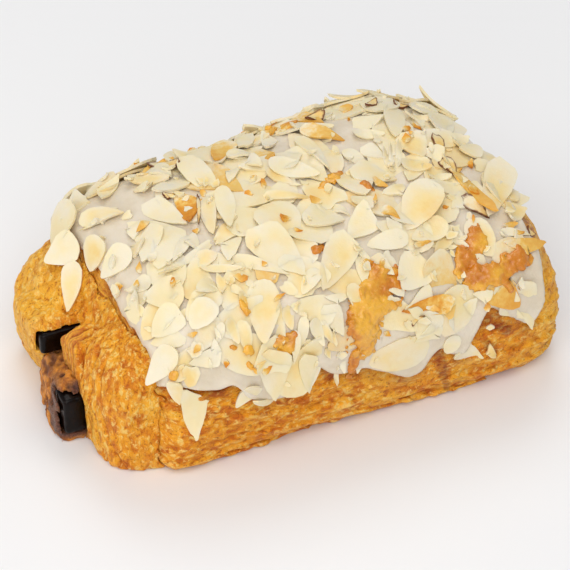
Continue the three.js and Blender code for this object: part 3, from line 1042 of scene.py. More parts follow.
# each kind of slice: how pointed the tip is, how wide the round end, where the round end is
# broken off (1 is not at all) and at what slant, how ragged the outline is, its curl, twist
SLICE_KINDS = {
    "whole": (0.75, 0.30, 1.0, 0.0, 0.030, 0.10, 0.06),
    "whole_b": (0.60, 0.22, 1.0, 0.0, 0.045, -0.08, 0.05),
    "whole_c": (0.68, 0.38, 0.86, 0.25, 0.035, 0.06, -0.09),
    "slim": (0.85, 0.15, 1.0, 0.0, 0.040, -0.12, -0.10),
    "slim_b": (0.80, 0.10, 0.90, -0.2, 0.050, 0.12, 0.12),
    "broken": (0.60, 0.30, 0.45, 0.35, 0.060, 0.12, 0.08),
    "broken_b": (0.45, 0.20, 0.30, -0.4, 0.080, -0.10, -0.08),
    "chunk": (0.15, 0.05, 0.55, 0.2, 0.110, 0.0, 0.05),
    "chunk_b": (0.30, 0.0, 0.40, -0.3, 0.130, 0.06, -0.06),
    "strip": (0.35, 0.0, 0.90, 0.1, 0.060, 0.14, 0.16),
    "chip": (0.30, 0.0, 0.60, 0.3, 0.180, 0.05, 0.04),
    "chip_b": (0.05, 0.1, 0.45, -0.4, 0.220, 0.0, -0.05),
}
SLICE_NAMES = list(SLICE_KINDS)
# which of them stand in for a plain name, in turn
SLICE_CHOICES = {
    "whole": ("whole", "whole_b", "whole_c"),
    "slim": ("slim", "slim_b"),
    "broken": ("broken", "broken_b"),
    "chunk": ("chunk", "chunk_b"),
    "strip": ("strip",),
    "chip": ("chip", "chip_b"),
}


def sides_of(kind):
    return CHIP_SIDES if kind.startswith("chip") else SLICE_SIDES


def slice_outline(kind, seed):
    """A slice's outline, from -1 to 1 both ways, its tip at +X."""
    point, belly, kept, slant, ragged = SLICE_KINDS[kind][:5]
    rng = np.random.default_rng(seed)
    sides = sides_of(kind)
    angle = np.linspace(0, 2 * math.pi, sides, endpoint=False)
    angle = angle + rng.uniform(-0.35, 0.35, sides) * math.pi / sides
    x, y = np.cos(angle), np.sin(angle)
    y = y * (1 - point * 0.5 * (x + 1) ** 1.6 / 2) + belly * y * (0.3 - x) * 0.4
    scatter = 1 + rng.uniform(-ragged, ragged, sides)
    x, y = x * scatter, y * scatter
    break_line = -kept + slant * y + rng.uniform(-ragged, ragged, sides) * (kept < 1)
    x = np.maximum(x, break_line)
    x = (x - x.min()) / (x.max() - x.min()) * 2 - 1
    return np.stack([x, y / np.abs(y).max()], axis=1)


def slice_mesh(kind, seed):
    """A thin closed plate of unit half length and half width, a thickness of 1 high."""
    curl, twist = SLICE_KINDS[kind][5:]
    outline = slice_outline(kind, seed)
    sides = sides_of(kind)
    # rings from the middle of the top over the rim to the middle of the underside
    rings = [(0.0, 0.5), (0.62, 0.5), (1.0, 0.5), (0.96, -0.5), (0.0, -0.5)]
    points, marks, starts = [], [], []
    for share, height in rings:
        starts.append(len(points))
        for x, y in outline * share if share else np.zeros((1, 2)):
            bend = 12 * (curl * (x * x - 0.4) + twist * x * y)
            points.append((x, y, height + bend))
            marks.append((x, y, share))
    faces, flat = [], []
    for i in range(sides):
        j = (i + 1) % sides
        a, b, c = starts[1:4]
        faces += [(0, a + i, a + j), (a + i, b + i, b + j, a + j)]
        faces += [(b + i, c + i, c + j, b + j), (starts[4], c + j, c + i)]
        flat += [False, False, True, False]
    mesh = bpy.data.meshes.new("slice_" + kind)
    mesh.from_pydata(points, [], faces)
    mesh.polygons.foreach_set("use_smooth", [not one for one in flat])
    sharp = mesh.attributes.new("sharp_edge", "BOOLEAN", "EDGE")
    rims = [range(start, start + sides) for start in starts[2:4]]
    on_rim = [any(a in rim and b in rim for rim in rims) for a, b in mesh.edge_keys]
    sharp.data.foreach_set("value", on_rim)
    layer = mesh.attributes.new("slice", "FLOAT_VECTOR", "POINT")
    layer.data.foreach_set("vector", np.array(marks, np.float32).ravel())
    return mesh


slice_meshes = [slice_mesh(kind, 70 + i) for i, kind in enumerate(SLICE_NAMES)]
slice_corners = [np.array([v.co for v in mesh.vertices]) for mesh in slice_meshes]
slice_faces = [[tuple(f.vertices) for f in mesh.polygons] for mesh in slice_meshes]

# what the slices can lie on
carrier_trees = [BVHTree.FromPolygons(icing_surface[0].tolist(), outward(*icing_surface))]
for piece in (outer_wrap, inner_turns):
    faces = [tuple(f.vertices) for f in piece.data.polygons]
    carrier_trees.append(BVHTree.FromPolygons(corners_of(piece).tolist(), faces))

NOTHING_UNDER = -3.0
# how a slice comes to rest: how far below the middle height it ignores the pile, its
# steepest slope, how far it sinks in between the others and stays over bare crust, and the
# highest over the smooth roll that it lies
REST = {"ignored": 2.5, "steepest": 0.42, "sunk": 0.1, "over_crust": 0.15, "highest": 3.4}
# a slice that sticks out of the part's box by more than this is tilted, a few times at most
STICKS_OUT, TILT_SHARE, MOST_TILTS = 0.15, 0.12, 6
BOX_INSIDE = 0.1
BOX_LOW, BOX_HIGH = in_mm((cad_low, cad_high))
BOX_LOW, BOX_HIGH = BOX_LOW + BOX_INSIDE, BOX_HIGH - BOX_INSIDE
# the middle of the pastry in the photograph
MIDDLE_SEEN = Vector((300, 275))


class Pile:
    """What already lies on the roll: each new slice comes to rest on it."""

    def __init__(self):
        self.trees = [(tree, None, 0) for tree in carrier_trees]
        self.laid = []

    def height(self, place, up, reach=6.0):
        """How far over a place, along a direction, the pile's surface is."""
        start = place + up * reach
        best = NOTHING_UNDER
        for tree, middle, radius in self.trees:
            if middle is not None:
                offset = start - middle
                if (offset - up * offset.dot(up)).length > radius:
                    continue
            hit = tree.ray_cast(start, -up, 2 * reach)
            if hit[0] is not None:
                best = max(best, reach - hit[3])
        return best

    def seen(self, pixel, carriers_only=True):
        """The nearest point that the camera sees at a pixel, moving in from the edge."""
        pixel = Vector(pixel)
        inward = (MIDDLE_SEEN - pixel).normalized()
        for _ in range(30):
            hits = []
            for tree, middle, _radius in self.trees:
                if carriers_only and middle is not None:
                    continue
                hit = tree.ray_cast(CAMERA_AT, sight_line(pixel))
                if hit[0] is not None:
                    hits.append((hit[3], hit[0]))
            if hits:
                return min(hits, key=lambda h: h[0])[1], pixel
            pixel = pixel + inward * 2
        raise ValueError("nothing is seen near that pixel")

    def rest(self, place, up, along, half_long, half_wide):
        """The height and tilt at which a slice over a place comes to rest."""
        across = up.cross(along).normalized()
        rows, heights = [], []
        for s, t in FOOTPRINT:
            spot = place + along * (s * half_long) + across * (t * half_wide)
            rows.append((1, s * half_long, t * half_wide))
            heights.append(self.height(spot, up))
        rows, heights = np.array(rows), np.array(heights)
        keep = heights > max(np.median(heights) - REST["ignored"], NOTHING_UNDER + 0.1)
        if keep.sum() < 6:
            return 0.0, up
        fit = np.linalg.lstsq(rows[keep], heights[keep], rcond=None)[0]
        slope = np.clip(fit[1:], -REST["steepest"], REST["steepest"])
        bare = icing_inside(np.array(place)[None])[0] < 0
        over = heights[keep] - rows[keep][:, 1:] @ slope
        level = over.max() + REST["over_crust"] if bare else np.percentile(over, 85) - REST["sunk"]
        over_roll = MAIN.lookup(smooth_roll, np.array([place + up * level]))[0]
        level -= max(0.0, over_roll - REST["highest"])
        tilted = (up - along * slope[0] - across * slope[1]).normalized()
        return level, tilted

    def lay(self, middle, normal, along, half_long, half_wide, kind, **tone):
        """Puts a slice down for good, held inside the part's box."""
        choices = SLICE_CHOICES[kind]
        index = SLICE_NAMES.index(choices[len(self.laid) % len(choices)])
        middle = middle + normal * (SLICE_THICK / 2)
        for tilts in range(MOST_TILTS + 1):
            along = (along - normal * along.dot(normal)).normalized()
            across = normal.cross(along)
            axes = np.array([along * half_long, across * half_wide, normal * SLICE_THICK])
            corners = slice_corners[index] @ axes + np.array(middle)
            over = np.maximum(corners.max(axis=0) - BOX_HIGH, 0)
            under = np.maximum(BOX_LOW - corners.min(axis=0), 0)
            if tilts == MOST_TILTS or max(over.max(), under.max()) < STICKS_OUT:
                break
            normal = (normal + Vector(np.clip(over - under, -1, 1)) * TILT_SHARE).normalized()
        corners, middle = corners + under - over, middle + Vector(under - over)
        tree = BVHTree.FromPolygons(corners.tolist(), slice_faces[index])
        self.trees.append((tree, middle.copy(), max(half_long, half_wide) + 1))
        self.laid.append(
            dict(middle=middle, along=along, across=across, normal=normal, kind=index,
                 size=(half_long, half_wide, SLICE_THICK), **tone)
        )


FOOTPRINT = [(0, 0)] + [
    (r * math.cos(a), r * math.sin(a))
    for r, n in ((0.5, 6), (0.92, 10))
    for a in np.linspace(0, 2 * math.pi, n, endpoint=False)
]
pile = Pile()
chance = np.random.default_rng(7)


def roll_normal(place):
    """The smooth roll's outward direction near a place."""
    steps = np.eye(3) * 1.5
    place = np.array(place)
    ahead = MAIN.lookup(smooth_roll, place + steps)
    behind = MAIN.lookup(smooth_roll, place - steps)
    return Vector(ahead - behind).normalized()


# how yellow, how toasted and how much skin a slice of each tone has
TONES = {
    "p": (0.15, 0.0, 0.0),
    "g": (0.0, 0.0, 0.0),
    "t": (0.45, 0.05, 0.0),
    "y": (0.75, 0.12, 0.0),
    "o": (0.7, 0.55, 0.0),
    "O": (0.8, 1.0, 0.0),
    "k": (0.6, 0.3, 1.0),
}

# A first layer all over the icing, hidden from the camera for the most part: it fills what
# the slices of the photograph leave open. Where bare icing shows there are none.
BARE_ICING_SEEN = [
    ((108, 197), 22), ((225, 165), 18), ((345, 145), 26), ((485, 230), 14), ((442, 262), 14),
    ((222, 375), 30), ((160, 372), 16), ((328, 358), 14), ((390, 330), 16), ((410, 374), 10),
    ((252, 205), 12), ((460, 208), 10), ((375, 225), 12),
]
FIRST_LAYER = {"tries": 900, "front": 78, "back": 150, "long": (9, 19), "apart": 6.2, "inset": 2.5}
# none of them lie where the roll turns down to its ends more than this
MOST_ENDWAYS = 0.6
# where the rays that find spots on the roll aim, and how far out they start
RAY_HEIGHT, RAY_LENGTH = 14, 60


def spot_on_roll(x, y, lean, endways):
    """Where a ray from outside to a place inside the roll meets it, if it does."""
    way = Vector((endways, math.sin(lean), math.cos(lean))).normalized()
    start = Vector((x, y, RAY_HEIGHT)) + way * RAY_LENGTH
    return roll_tree.ray_cast(start, -way)[0]


def strew_first_layer():
    taken = []
    counts = {True: 0, False: 0}
    for _ in range(FIRST_LAYER["tries"]):
        u, v = chance.uniform(-1, 1, 2)
        place = spot_on_roll(u * 60, 6 * v, v * 1.25, 0.45 * u * abs(u))
        if place is None:
            continue
        place = np.array(place)
        if icing_inside(place[None])[0] < FIRST_LAYER["inset"]:
            continue
        if any(np.linalg.norm(place - other) < FIRST_LAYER["apart"] for other in taken):
            continue
        normal = roll_normal(place)
        to_front = normal.dot(TO_CAMERA) > 0.12
        px, py = pixels_of(place)
        if to_front and any(math.hypot(px - c[0], py - c[1]) < r for c, r in BARE_ICING_SEEN):
            continue
        if abs(normal.x) > MOST_ENDWAYS:
            continue
        if counts[to_front] >= FIRST_LAYER["front" if to_front else "back"]:
            continue
        counts[to_front] += 1
        taken.append(place)
        drop_slice(Vector(place), normal, chance.uniform(*FIRST_LAYER["long"]))


# how far over the bare roll the end of a slice may stand
MOST_OFF = 3.0
# how far from the wrap's left edge the strewn slices keep
OVERHANG = 1.5
# the share of each kind among the strewn slices, and of those that keep a rim of skin
STREWN_KINDS = {"whole": 0.42, "slim": 0.2, "broken": 0.26, "chunk": 0.07, "strip": 0.05}
SKINNED_SHARE = 0.0


def off_the_roll(middle, normal, along, half_long, half_wide):
    """How far a slice's furthest end is from the roll."""
    across = normal.cross(along).normalized()
    ends = [middle + along * s * half_long for s in (-1, 1)]
    ends += [middle + across * s * half_wide for s in (-1, 1)]
    return MAIN.lookup(smooth_roll, np.array(ends)).max()


def random_way(normal):
    """A random direction at right angles to another."""
    turn = chance.uniform(0, 2 * math.pi)
    side = normal.orthogonal().normalized()
    return side * math.cos(turn) + normal.cross(side) * math.sin(turn)


def drop_slice(place, normal, length):
    """Lays a slice of a random kind and turn at a place."""
    along = random_way(normal)
    kind = chance.choice(list(STREWN_KINDS), p=list(STREWN_KINDS.values()))
    wide = length * chance.uniform(0.5, 0.68)
    if kind in ("broken", "chunk"):
        length = max(length * 0.72, wide * 0.9)
    if kind == "strip":
        wide = length * 0.25
    if place.x - abs(along.x) * length / 2 < TURNS["wrap"]["span"][0] + OVERHANG:
        return
    level, tilted = pile.rest(place, normal, along, length / 2, wide / 2)
    if off_the_roll(place + normal * level, tilted, along, length / 2, wide / 2) > MOST_OFF:
        return
    yellow, toast = chance.uniform(0, 0.8), max(0.0, chance.normal(-0.15, 0.3))
    skin = float(chance.random() < SKINNED_SHARE)
    pile.lay(place + normal * level, tilted, along, length / 2, wide / 2, kind,
             yellow=yellow, toast=min(toast, 0.9), skin=skin)


strew_first_layer()

# The slices that the photograph shows, from the lowest up: the pixel of the round or broken
# end, the pixel of the tip, the width in pixels, the kind and the tone.
W, S, B, C, T = "whole", "slim", "broken", "chunk", "strip"
SLICES_SEEN = [
    # along the back edge
    (88, 196, 108, 173, 14, S, "y"), (96, 200, 120, 178, 12, B, "p"),
    (126, 172, 165, 154, 8, T, "o"), (150, 165, 180, 163, 6, T, "k"),
    (128, 181, 170, 178, 9, S, "y"), (150, 166, 172, 178, 9, S, "p"),
    (190, 178, 152, 195, 15, W, "g"), (150, 187, 133, 191, 9, C, "p"),
    (162, 150, 200, 158, 11, S, "p"), (165, 136, 187, 147, 10, B, "y"),
    (210, 131, 228, 137, 10, B, "p"), (182, 131, 208, 142, 17, W, "p"),
    (225, 139, 211, 155, 13, W, "o"), (238, 123, 228, 150, 8, S, "p"),
    (222, 123, 262, 116, 11, S, "y"), (263, 111, 300, 112, 12, W, "p"),
    (262, 124, 278, 120, 7, B, "o"), (262, 131, 277, 130, 7, B, "o"),
    (280, 131, 289, 128, 6, C, "p"), (290, 106, 325, 111, 8, S, "o"),
    (281, 107, 297, 98, 8, B, "O"), (306, 117, 325, 114, 5, T, "k"),
    (289, 126, 334, 129, 8, S, "p"), (300, 134, 345, 135, 7, S, "o"),
    (350, 104, 355, 88, 30, B, "p"), (340, 112, 352, 107, 8, C, "o"),
    (362, 108, 400, 104, 15, W, "g"), (352, 125, 385, 121, 14, W, "g"),
    (352, 133, 385, 136, 10, S, "g"), (392, 106, 396, 137, 17, W, "p"),
    (371, 104, 377, 97, 5, C, "k"), (399, 94, 412, 101, 6, B, "k"),
    (412, 101, 441, 113, 14, W, "g"), (404, 114, 432, 121, 6, T, "y"),
    (428, 121, 465, 133, 17, W, "p"), (402, 131, 410, 128, 6, C, "O"),
    (405, 134, 424, 158, 24, W, "y"), (450, 138, 467, 142, 14, B, "p"),
    (463, 143, 480, 160, 18, W, "p"),
    # the top, behind the middle
    (270, 136, 268, 151, 18, B, "g"), (258, 151, 276, 160, 8, S, "o"),
    (240, 143, 248, 130, 11, C, "g"), (245, 157, 262, 168, 14, B, "g"),
    (226, 157, 256, 154, 8, S, "p"), (343, 152, 366, 165, 12, W, "g"),
    (362, 148, 386, 160, 12, W, "g"), (384, 151, 389, 169, 6, T, "y"),
    (390, 148, 392, 168, 5, T, "p"), (398, 146, 399, 166, 7, T, "p"),
    (433, 137, 443, 148, 7, C, "k"), (400, 162, 432, 170, 12, S, "y"),
    (430, 156, 441, 151, 11, C, "g"), (428, 175, 452, 180, 8, S, "p"),
    (441, 158, 457, 178, 11, S, "k"), (428, 186, 478, 193, 13, S, "p"),
    (460, 197, 490, 218, 13, S, "k"), (445, 150, 493, 222, 11, T, "o"),
    (474, 166, 488, 165, 10, C, "g"), (468, 161, 472, 169, 5, C, "O"),
    (505, 186, 516, 203, 14, B, "y"), (500, 168, 492, 210, 27, W, "y"),
    (503, 212, 525, 211, 20, B, "y"), (503, 228, 516, 223, 8, C, "o"),
    (500, 231, 530, 235, 8, S, "p"), (526, 231, 533, 235, 4, C, "k"),
    # the middle of the top
    (296, 137, 330, 168, 10, S, "p"), (265, 173, 292, 182, 8, S, "y"),
    (268, 163, 320, 176, 19, W, "p"), (345, 168, 366, 198, 27, W, "t"),
    (350, 170, 397, 180, 17, W, "t"), (371, 180, 388, 187, 7, C, "o"),
    (263, 196, 316, 198, 8, S, "y"), (303, 213, 345, 222, 22, W, "p"),
    (331, 206, 350, 217, 7, S, "p"), (355, 206, 376, 200, 14, C, "p"),
    (381, 207, 400, 220, 9, S, "o"), (445, 224, 412, 240, 23, W, "t"),
    (432, 185, 408, 226, 39, W, "y"), (413, 246, 430, 241, 6, T, "o"),
    (232, 257, 290, 275, 13, S, "p"), (264, 206, 296, 236, 37, W, "t"),
    (252, 228, 306, 275, 39, W, "t"), (232, 235, 227, 262, 23, B, "p"),
    (183, 163, 216, 190, 20, W, "p"), (235, 167, 228, 184, 12, B, "g"),
    (222, 188, 231, 229, 20, W, "p"), (205, 193, 214, 235, 17, W, "y"),
    (187, 190, 191, 227, 27, B, "O"), (162, 198, 175, 195, 6, C, "k"),
    (199, 198, 199, 227, 4, T, "k"), (145, 203, 188, 226, 22, W, "p"),
    # the left shoulder
    (133, 214, 122, 220, 8, C, "p"), (76, 203, 49, 247, 23, W, "p"),
    (79, 222, 124, 211, 16, S, "y"), (80, 240, 45, 262, 31, W, "p"),
    (79, 229, 104, 220, 4, T, "p"), (74, 262, 69, 312, 20, S, "y"),
    (116, 255, 104, 281, 13, S, "g"), (103, 237, 87, 271, 24, W, "y"),
    (157, 225, 143, 263, 19, W, "p"), (135, 222, 133, 240, 14, B, "p"),
    (148, 220, 136, 233, 8, S, "o"), (140, 240, 133, 258, 11, B, "y"),
    (128, 246, 103, 280, 24, W, "p"), (135, 292, 134, 326, 19, B, "g"),
    (117, 284, 118, 298, 10, C, "g"), (150, 278, 129, 295, 15, W, "p"),
    (190, 235, 172, 263, 13, S, "p"), (186, 235, 197, 250, 12, B, "p"),
    (212, 243, 158, 280, 8, T, "p"), (186, 337, 151, 345, 17, W, "g"),
    (180, 308, 152, 338, 32, W, "g"), (183, 288, 144, 302, 33, W, "p"),
    # the middle of the front
    (194, 262, 218, 256, 17, W, "y"), (200, 268, 243, 269, 9, S, "t"),
    (222, 276, 222, 295, 13, B, "y"), (216, 280, 196, 295, 17, W, "p"),
    (229, 286, 248, 298, 8, S, "p"), (241, 292, 247, 317, 8, T, "o"),
    (212, 300, 192, 329, 28, W, "t"), (188, 337, 198, 332, 6, C, "o"),
    (222, 322, 217, 346, 9, S, "p"), (228, 318, 238, 345, 12, S, "y"),
    (241, 320, 249, 358, 15, S, "y"), (263, 279, 264, 346, 34, W, "y"),
    (281, 284, 298, 294, 13, C, "p"), (286, 306, 291, 331, 12, S, "y"),
    (294, 311, 299, 301, 5, T, "y"), (318, 268, 303, 296, 16, W, "g"),
    (349, 233, 322, 292, 35, W, "y"), (358, 246, 368, 263, 7, S, "g"),
    (360, 256, 364, 285, 13, W, "p"), (370, 256, 394, 275, 17, W, "p"),
    (392, 219, 400, 240, 16, B, "p"), (408, 238, 367, 245, 20, W, "p"),
    (425, 256, 400, 292, 41, W, "p"), (325, 302, 349, 295, 12, B, "g"),
    (348, 283, 366, 315, 16, W, "y"), (326, 303, 343, 335, 21, W, "p"),
    (321, 320, 333, 343, 10, S, "y"), (333, 328, 335, 346, 5, T, "y"),
    # the right of the front
    (450, 236, 433, 254, 14, W, "y"), (449, 236, 468, 247, 8, S, "p"),
    (470, 219, 492, 257, 27, W, "y"), (475, 300, 493, 291, 17, B, "g"),
    (438, 312, 417, 338, 26, W, "p"), (465, 286, 446, 339, 38, W, "y"),
    (455, 302, 402, 312, 20, W, "O"), (411, 324, 425, 315, 4, T, "k"),
    (405, 320, 412, 330, 8, C, "p"), (498, 306, 524, 318, 11, S, "g"),
    (495, 286, 520, 302, 20, W, "y"), (508, 276, 519, 289, 3, T, "k"),
    (522, 278, 534, 332, 20, W, "p"), (505, 250, 546, 243, 19, B, "o"),
    (455, 335, 447, 354, 15, W, "p"), (486, 345, 495, 357, 10, B, "y"),
    (458, 350, 484, 360, 18, B, "p"), (430, 347, 366, 361, 31, W, "y"),
    # the lowest on the front, some hanging over the rim
    (304, 316, 299, 352, 11, S, "p"), (312, 318, 323, 346, 13, W, "p"),
    (296, 330, 294, 364, 10, S, "p"), (340, 348, 343, 372, 8, S, "g"),
    (368, 353, 357, 373, 12, B, "g"), (337, 362, 338, 387, 4, T, "p"),
    (307, 351, 309, 393, 17, W, "p"), (258, 381, 237, 409, 14, W, "p"),
    (252, 398, 276, 403, 6, S, "p"), (275, 347, 276, 402, 33, W, "t"),
    (198, 341, 196, 358, 14, C, "g"), (210, 340, 221, 356, 12, B, "g"),
    (222, 355, 188, 363, 19, W, "g"), (177, 345, 146, 385, 26, W, "g"),
    (191, 364, 191, 387, 19, C, "y"), (172, 378, 180, 404, 16, W, "y"),
    (195, 387, 194, 437, 29, B, "p"), (176, 372, 175, 379, 6, C, "o"),
]
LONGEST, WIDEST = 22.5, 14.5
LEAST_FACING, OWN_TILT = 0.4, 0.17


def sight_meets(pixel, place, normal):
    """Where the line of sight through a pixel meets a plane."""
    line = sight_line(pixel)
    reach = (place - CAMERA_AT).dot(normal) / line.dot(normal)
    return CAMERA_AT + line * reach


def facing_camera(normal):
    """A direction turned towards the camera where it would face it too little."""
    lack = LEAST_FACING - normal.dot(TO_CAMERA)
    return (normal + TO_CAMERA * max(0.0, lack)).normalized()


def lay_seen(x0, y0, x1, y1, width, kind, tone):
    """Lays a slice so that the camera sees it at its pixels, resting on what is there."""
    centre = Vector(((x0 + x1) / 2, (y0 + y1) / 2))
    under, hit_pixel = pile.seen(centre)
    shift = hit_pixel - centre
    ends = [Vector((x0, y0)) + shift, Vector((x1, y1)) + shift]
    heading = (ends[1] - ends[0]).normalized()
    beside = hit_pixel + Vector((-heading.y, heading.x)) * width / 2
    up = facing_camera(roll_normal(under))
    own = Vector(chance.uniform(-OWN_TILT, OWN_TILT, 3))
    middle, normal = under.copy(), up
    for _ in range(3):
        start, tip = (sight_meets(end, middle, normal) for end in ends)
        along = tip - start
        half_long = min(along.length, LONGEST) / 2
        half_wide = min((sight_meets(beside, middle, normal) - middle).length, WIDEST / 2, half_long)
        along.normalize()
        level, tilted = pile.rest(middle, up, along, half_long, half_wide)
        normal = facing_camera((tilted + own).normalized())
        middle = sight_meets(hit_pixel, middle + up * level, normal)
        if off_the_roll(middle, normal, along, half_long, half_wide) > MOST_OFF:
            own = own * 0.3
    yellow, toast, skin = TONES[tone]
    pile.lay(middle, normal, along, half_long, half_wide, kind,
             yellow=yellow, toast=toast, skin=skin)


for seen in SLICES_SEEN:
    lay_seen(*seen)

# More slices on the back, where the camera doesn't look, as thick as in front
BACK_LAYER = {"tries": 500, "count": 60, "long": (12, 20)}


def strew_back_layer():
    count = 0
    for _ in range(BACK_LAYER["tries"]):
        u, lean = chance.uniform(-0.9, 0.95), chance.uniform(0.3, 1.3)
        place = spot_on_roll(u * 58, 4, lean, 0.3 * u)
        if place is None or count >= BACK_LAYER["count"]:
            continue
        place = np.array(place)
        normal = roll_normal(place)
        inside = icing_inside(place[None])[0]
        if normal.dot(TO_CAMERA) > 0.1 or inside < FIRST_LAYER["inset"]:
            continue
        count += 1
        drop_slice(Vector(place), normal, chance.uniform(*BACK_LAYER["long"]))


strew_back_layer()


def strewing_tree(name):
    """Geometry Nodes: puts one of the kinds of slice on each point, as its marks say."""
    tree = bpy.data.node_groups.new(name, "GeometryNodeTree")
    tree.interface.new_socket("Geometry", in_out="INPUT", socket_type="NodeSocketGeometry")
    tree.interface.new_socket("Kinds", in_out="INPUT", socket_type="NodeSocketCollection")
    tree.interface.new_socket("Finish", in_out="INPUT", socket_type="NodeSocketMaterial")
    tree.interface.new_socket("Geometry", in_out="OUTPUT", socket_type="NodeSocketGeometry")
    nodes = Nodes(tree)
    entry, leave = nodes.add("NodeGroupInput"), nodes.add("NodeGroupOutput")

    def mark(attribute, kind):
        node = nodes.add("GeometryNodeInputNamedAttribute", {"Name": attribute}, data_type=kind)
        return node.outputs["Attribute"]

    kinds = nodes.add("GeometryNodeCollectionInfo", {"Collection": entry.outputs["Kinds"]})
    kinds.inputs["Separate Children"].default_value = True
    kinds.inputs["Reset Children"].default_value = True
    turn = nodes.add("FunctionNodeEulerToRotation", {"Euler": mark("turn", "FLOAT_VECTOR")})
    placed = nodes.add(
        "GeometryNodeInstanceOnPoints",
        {
            "Points": entry.outputs["Geometry"],
            "Instance": kinds.outputs["Instances"],
            "Pick Instance": True,
            "Instance Index": mark("kind", "INT"),
            "Rotation": turn.outputs["Rotation"],
            "Scale": mark("size", "FLOAT_VECTOR"),
        },
    )
    real = nodes.add("GeometryNodeRealizeInstances", {"Geometry": placed.outputs["Instances"]})
    finish = {"Geometry": real.outputs["Geometry"], "Material": entry.outputs["Finish"]}
    finished = nodes.add("GeometryNodeSetMaterial", finish)
    nodes.set(leave.inputs["Geometry"], finished.outputs["Geometry"])
    return tree


def socket_of(tree, name):
    return next(i.identifier for i in tree.interface.items_tree
                if i.name == name and i.in_out == "INPUT")


def collection_of(name, meshes):
    """Objects for Geometry Nodes to pick from, in order, kept out of the scene."""
    made = bpy.data.collections.new(name)
    for index, mesh in enumerate(meshes):
        made.objects.link(bpy.data.objects.new(f"{name}_{index}", mesh))
    return made


strewing = strewing_tree("strewn slices")


def strewn(name, laid, kinds, look):
    """One mesh of everything that was laid, made by Geometry Nodes from points."""
    seeds = bpy.data.meshes.new(name + "_points")
    seeds.from_pydata([tuple(one["middle"] * MM) for one in laid], [], [])
    turns = [
        Matrix((one["along"], one["across"], one["normal"])).transposed().to_euler() for one in laid
    ]
    marks = {
        "turn": ("FLOAT_VECTOR", "vector", [tuple(turn) for turn in turns]),
        "size": ("FLOAT_VECTOR", "vector", [tuple(s * MM for s in one["size"]) for one in laid]),
        "kind": ("INT", "value", [one["kind"] for one in laid]),
    }
    for tone in ("yellow", "toast", "skin"):
        marks[tone] = ("FLOAT", "value", [one[tone] for one in laid])
    for mark, (kind, field, values) in marks.items():
        layer = seeds.attributes.new(mark, kind, "POINT")
        flat = np.array(values, np.int32 if kind == "INT" else np.float32).ravel()
        layer.data.foreach_set(field, flat)
    piece = link(name, seeds)
    modifier = piece.modifiers.new("strewing", "NODES")
    modifier.node_group = strewing
    modifier[socket_of(strewing, "Kinds")] = kinds
    modifier[socket_of(strewing, "Finish")] = look
    made = bpy.data.meshes.new_from_object(
        piece.evaluated_get(bpy.context.evaluated_depsgraph_get())
    )
    piece.modifiers.clear()
    piece.data = made
    made.materials.clear()
    made.materials.append(look)
    made.polygons.foreach_set("material_index", [0] * len(made.polygons))
    made.name = name
    return piece


ALMOND = {
    "pale": srgb(238, 223, 180),
    "white": srgb(236, 226, 200),
    "yellow": srgb(240, 214, 144),
    "deep": srgb(236, 190, 92),
    "toast": srgb(222, 146, 30),
    "dark_toast": srgb(178, 96, 12),
    "skin": srgb(112, 60, 28),
}


def almond_look(nodes):
    """Cream flesh, yellower in its middle, with a pale rim, browned or with skin on some."""
    where = object_coordinates(nodes)
    local = nodes.add("ShaderNodeSeparateXYZ", {"Vector": nodes.attribute("slice", "Vector")})
    along, rim = local.outputs["X"], local.outputs["Z"]
    yellow, toast, skin = (nodes.attribute(name) for name in ("yellow", "toast", "skin"))
    cloud = nodes.noise(where, 0.12, 3.0, 0.5)
    fine = nodes.noise(where, 0.7, 4.0, 0.6)
    colour = nodes.mix(nodes.span(cloud, 0.35, 0.65), ALMOND["white"], ALMOND["pale"])
    middle = nodes.span(rim, 1.0, 0.35)
    yellowed = nodes.math("MULTIPLY", yellow, nodes.span(cloud, 0.3, 0.6, 0.35, 1.0))
    colour = nodes.mix(nodes.math("MULTIPLY", yellowed, middle), colour, ALMOND["yellow"])
    spots = nodes.math("MULTIPLY", nodes.span(cloud, 0.56, 0.72), yellowed)
    colour = nodes.mix(nodes.math("MULTIPLY", spots, 0.6), colour, ALMOND["deep"])
    # browning comes in from one end, and unevenly
    reach = nodes.weighted((along, 0.35), (fine, 0.9))
    browned = nodes.math("MULTIPLY", nodes.span(reach, -0.1, 0.75), toast, clamp=True)
    deep, toasted = (browned, 0.0, 0.45, 1, ALMOND["deep"]), (browned, 0.3, 0.85, 1, ALMOND["toast"])
    colour = nodes.tinted(colour, deep, toasted)
    dark = nodes.math("MULTIPLY", nodes.span(reach, 0.45, 1.1), nodes.span(toast, 0.6, 1.0))
    colour = nodes.mix(nodes.math("MULTIPLY", dark, 0.8), colour, ALMOND["dark_toast"])
    ragged = nodes.weighted((rim, 1.0), (fine, 0.5))
    skinned = nodes.math("MULTIPLY", nodes.span(ragged, 0.95, 1.25), skin)
    colour = nodes.mix(skinned, colour, ALMOND["skin"])
    return {
        "Base Color": colour,
        "Roughness": nodes.span(fine, 0.3, 0.7, 0.42, 0.6),
        "Normal": nodes.bump(fine, 0.16, 0.6),
    }


ALMOND_FINISH = {
    "Subsurface Weight": 0.2,
    "Subsurface Radius": (1.0, 0.75, 0.4),
    "Subsurface Scale": 0.5 * MM,
}
almond = material("almond", almond_look, **ALMOND_FINISH)
slice_kinds = collection_of("slice_kinds", slice_meshes)
slices = strewn("almond_slices", list(pile.laid), slice_kinds, almond)
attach(slices, "root")
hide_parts("icing_and_almonds")

# ---------------------------------------------------------------------------------------
# Chips: splinters and bits of almond, some browned, that fell between the slices and on
# them. They are the same flesh as the slices and lie where they came to rest.
# ---------------------------------------------------------------------------------------

CHIPS = {"seen": 130, "behind": 60, "long": (1.4, 3.6), "widest": 2.6, "tilt": 0.45, "toasted": 0.25}
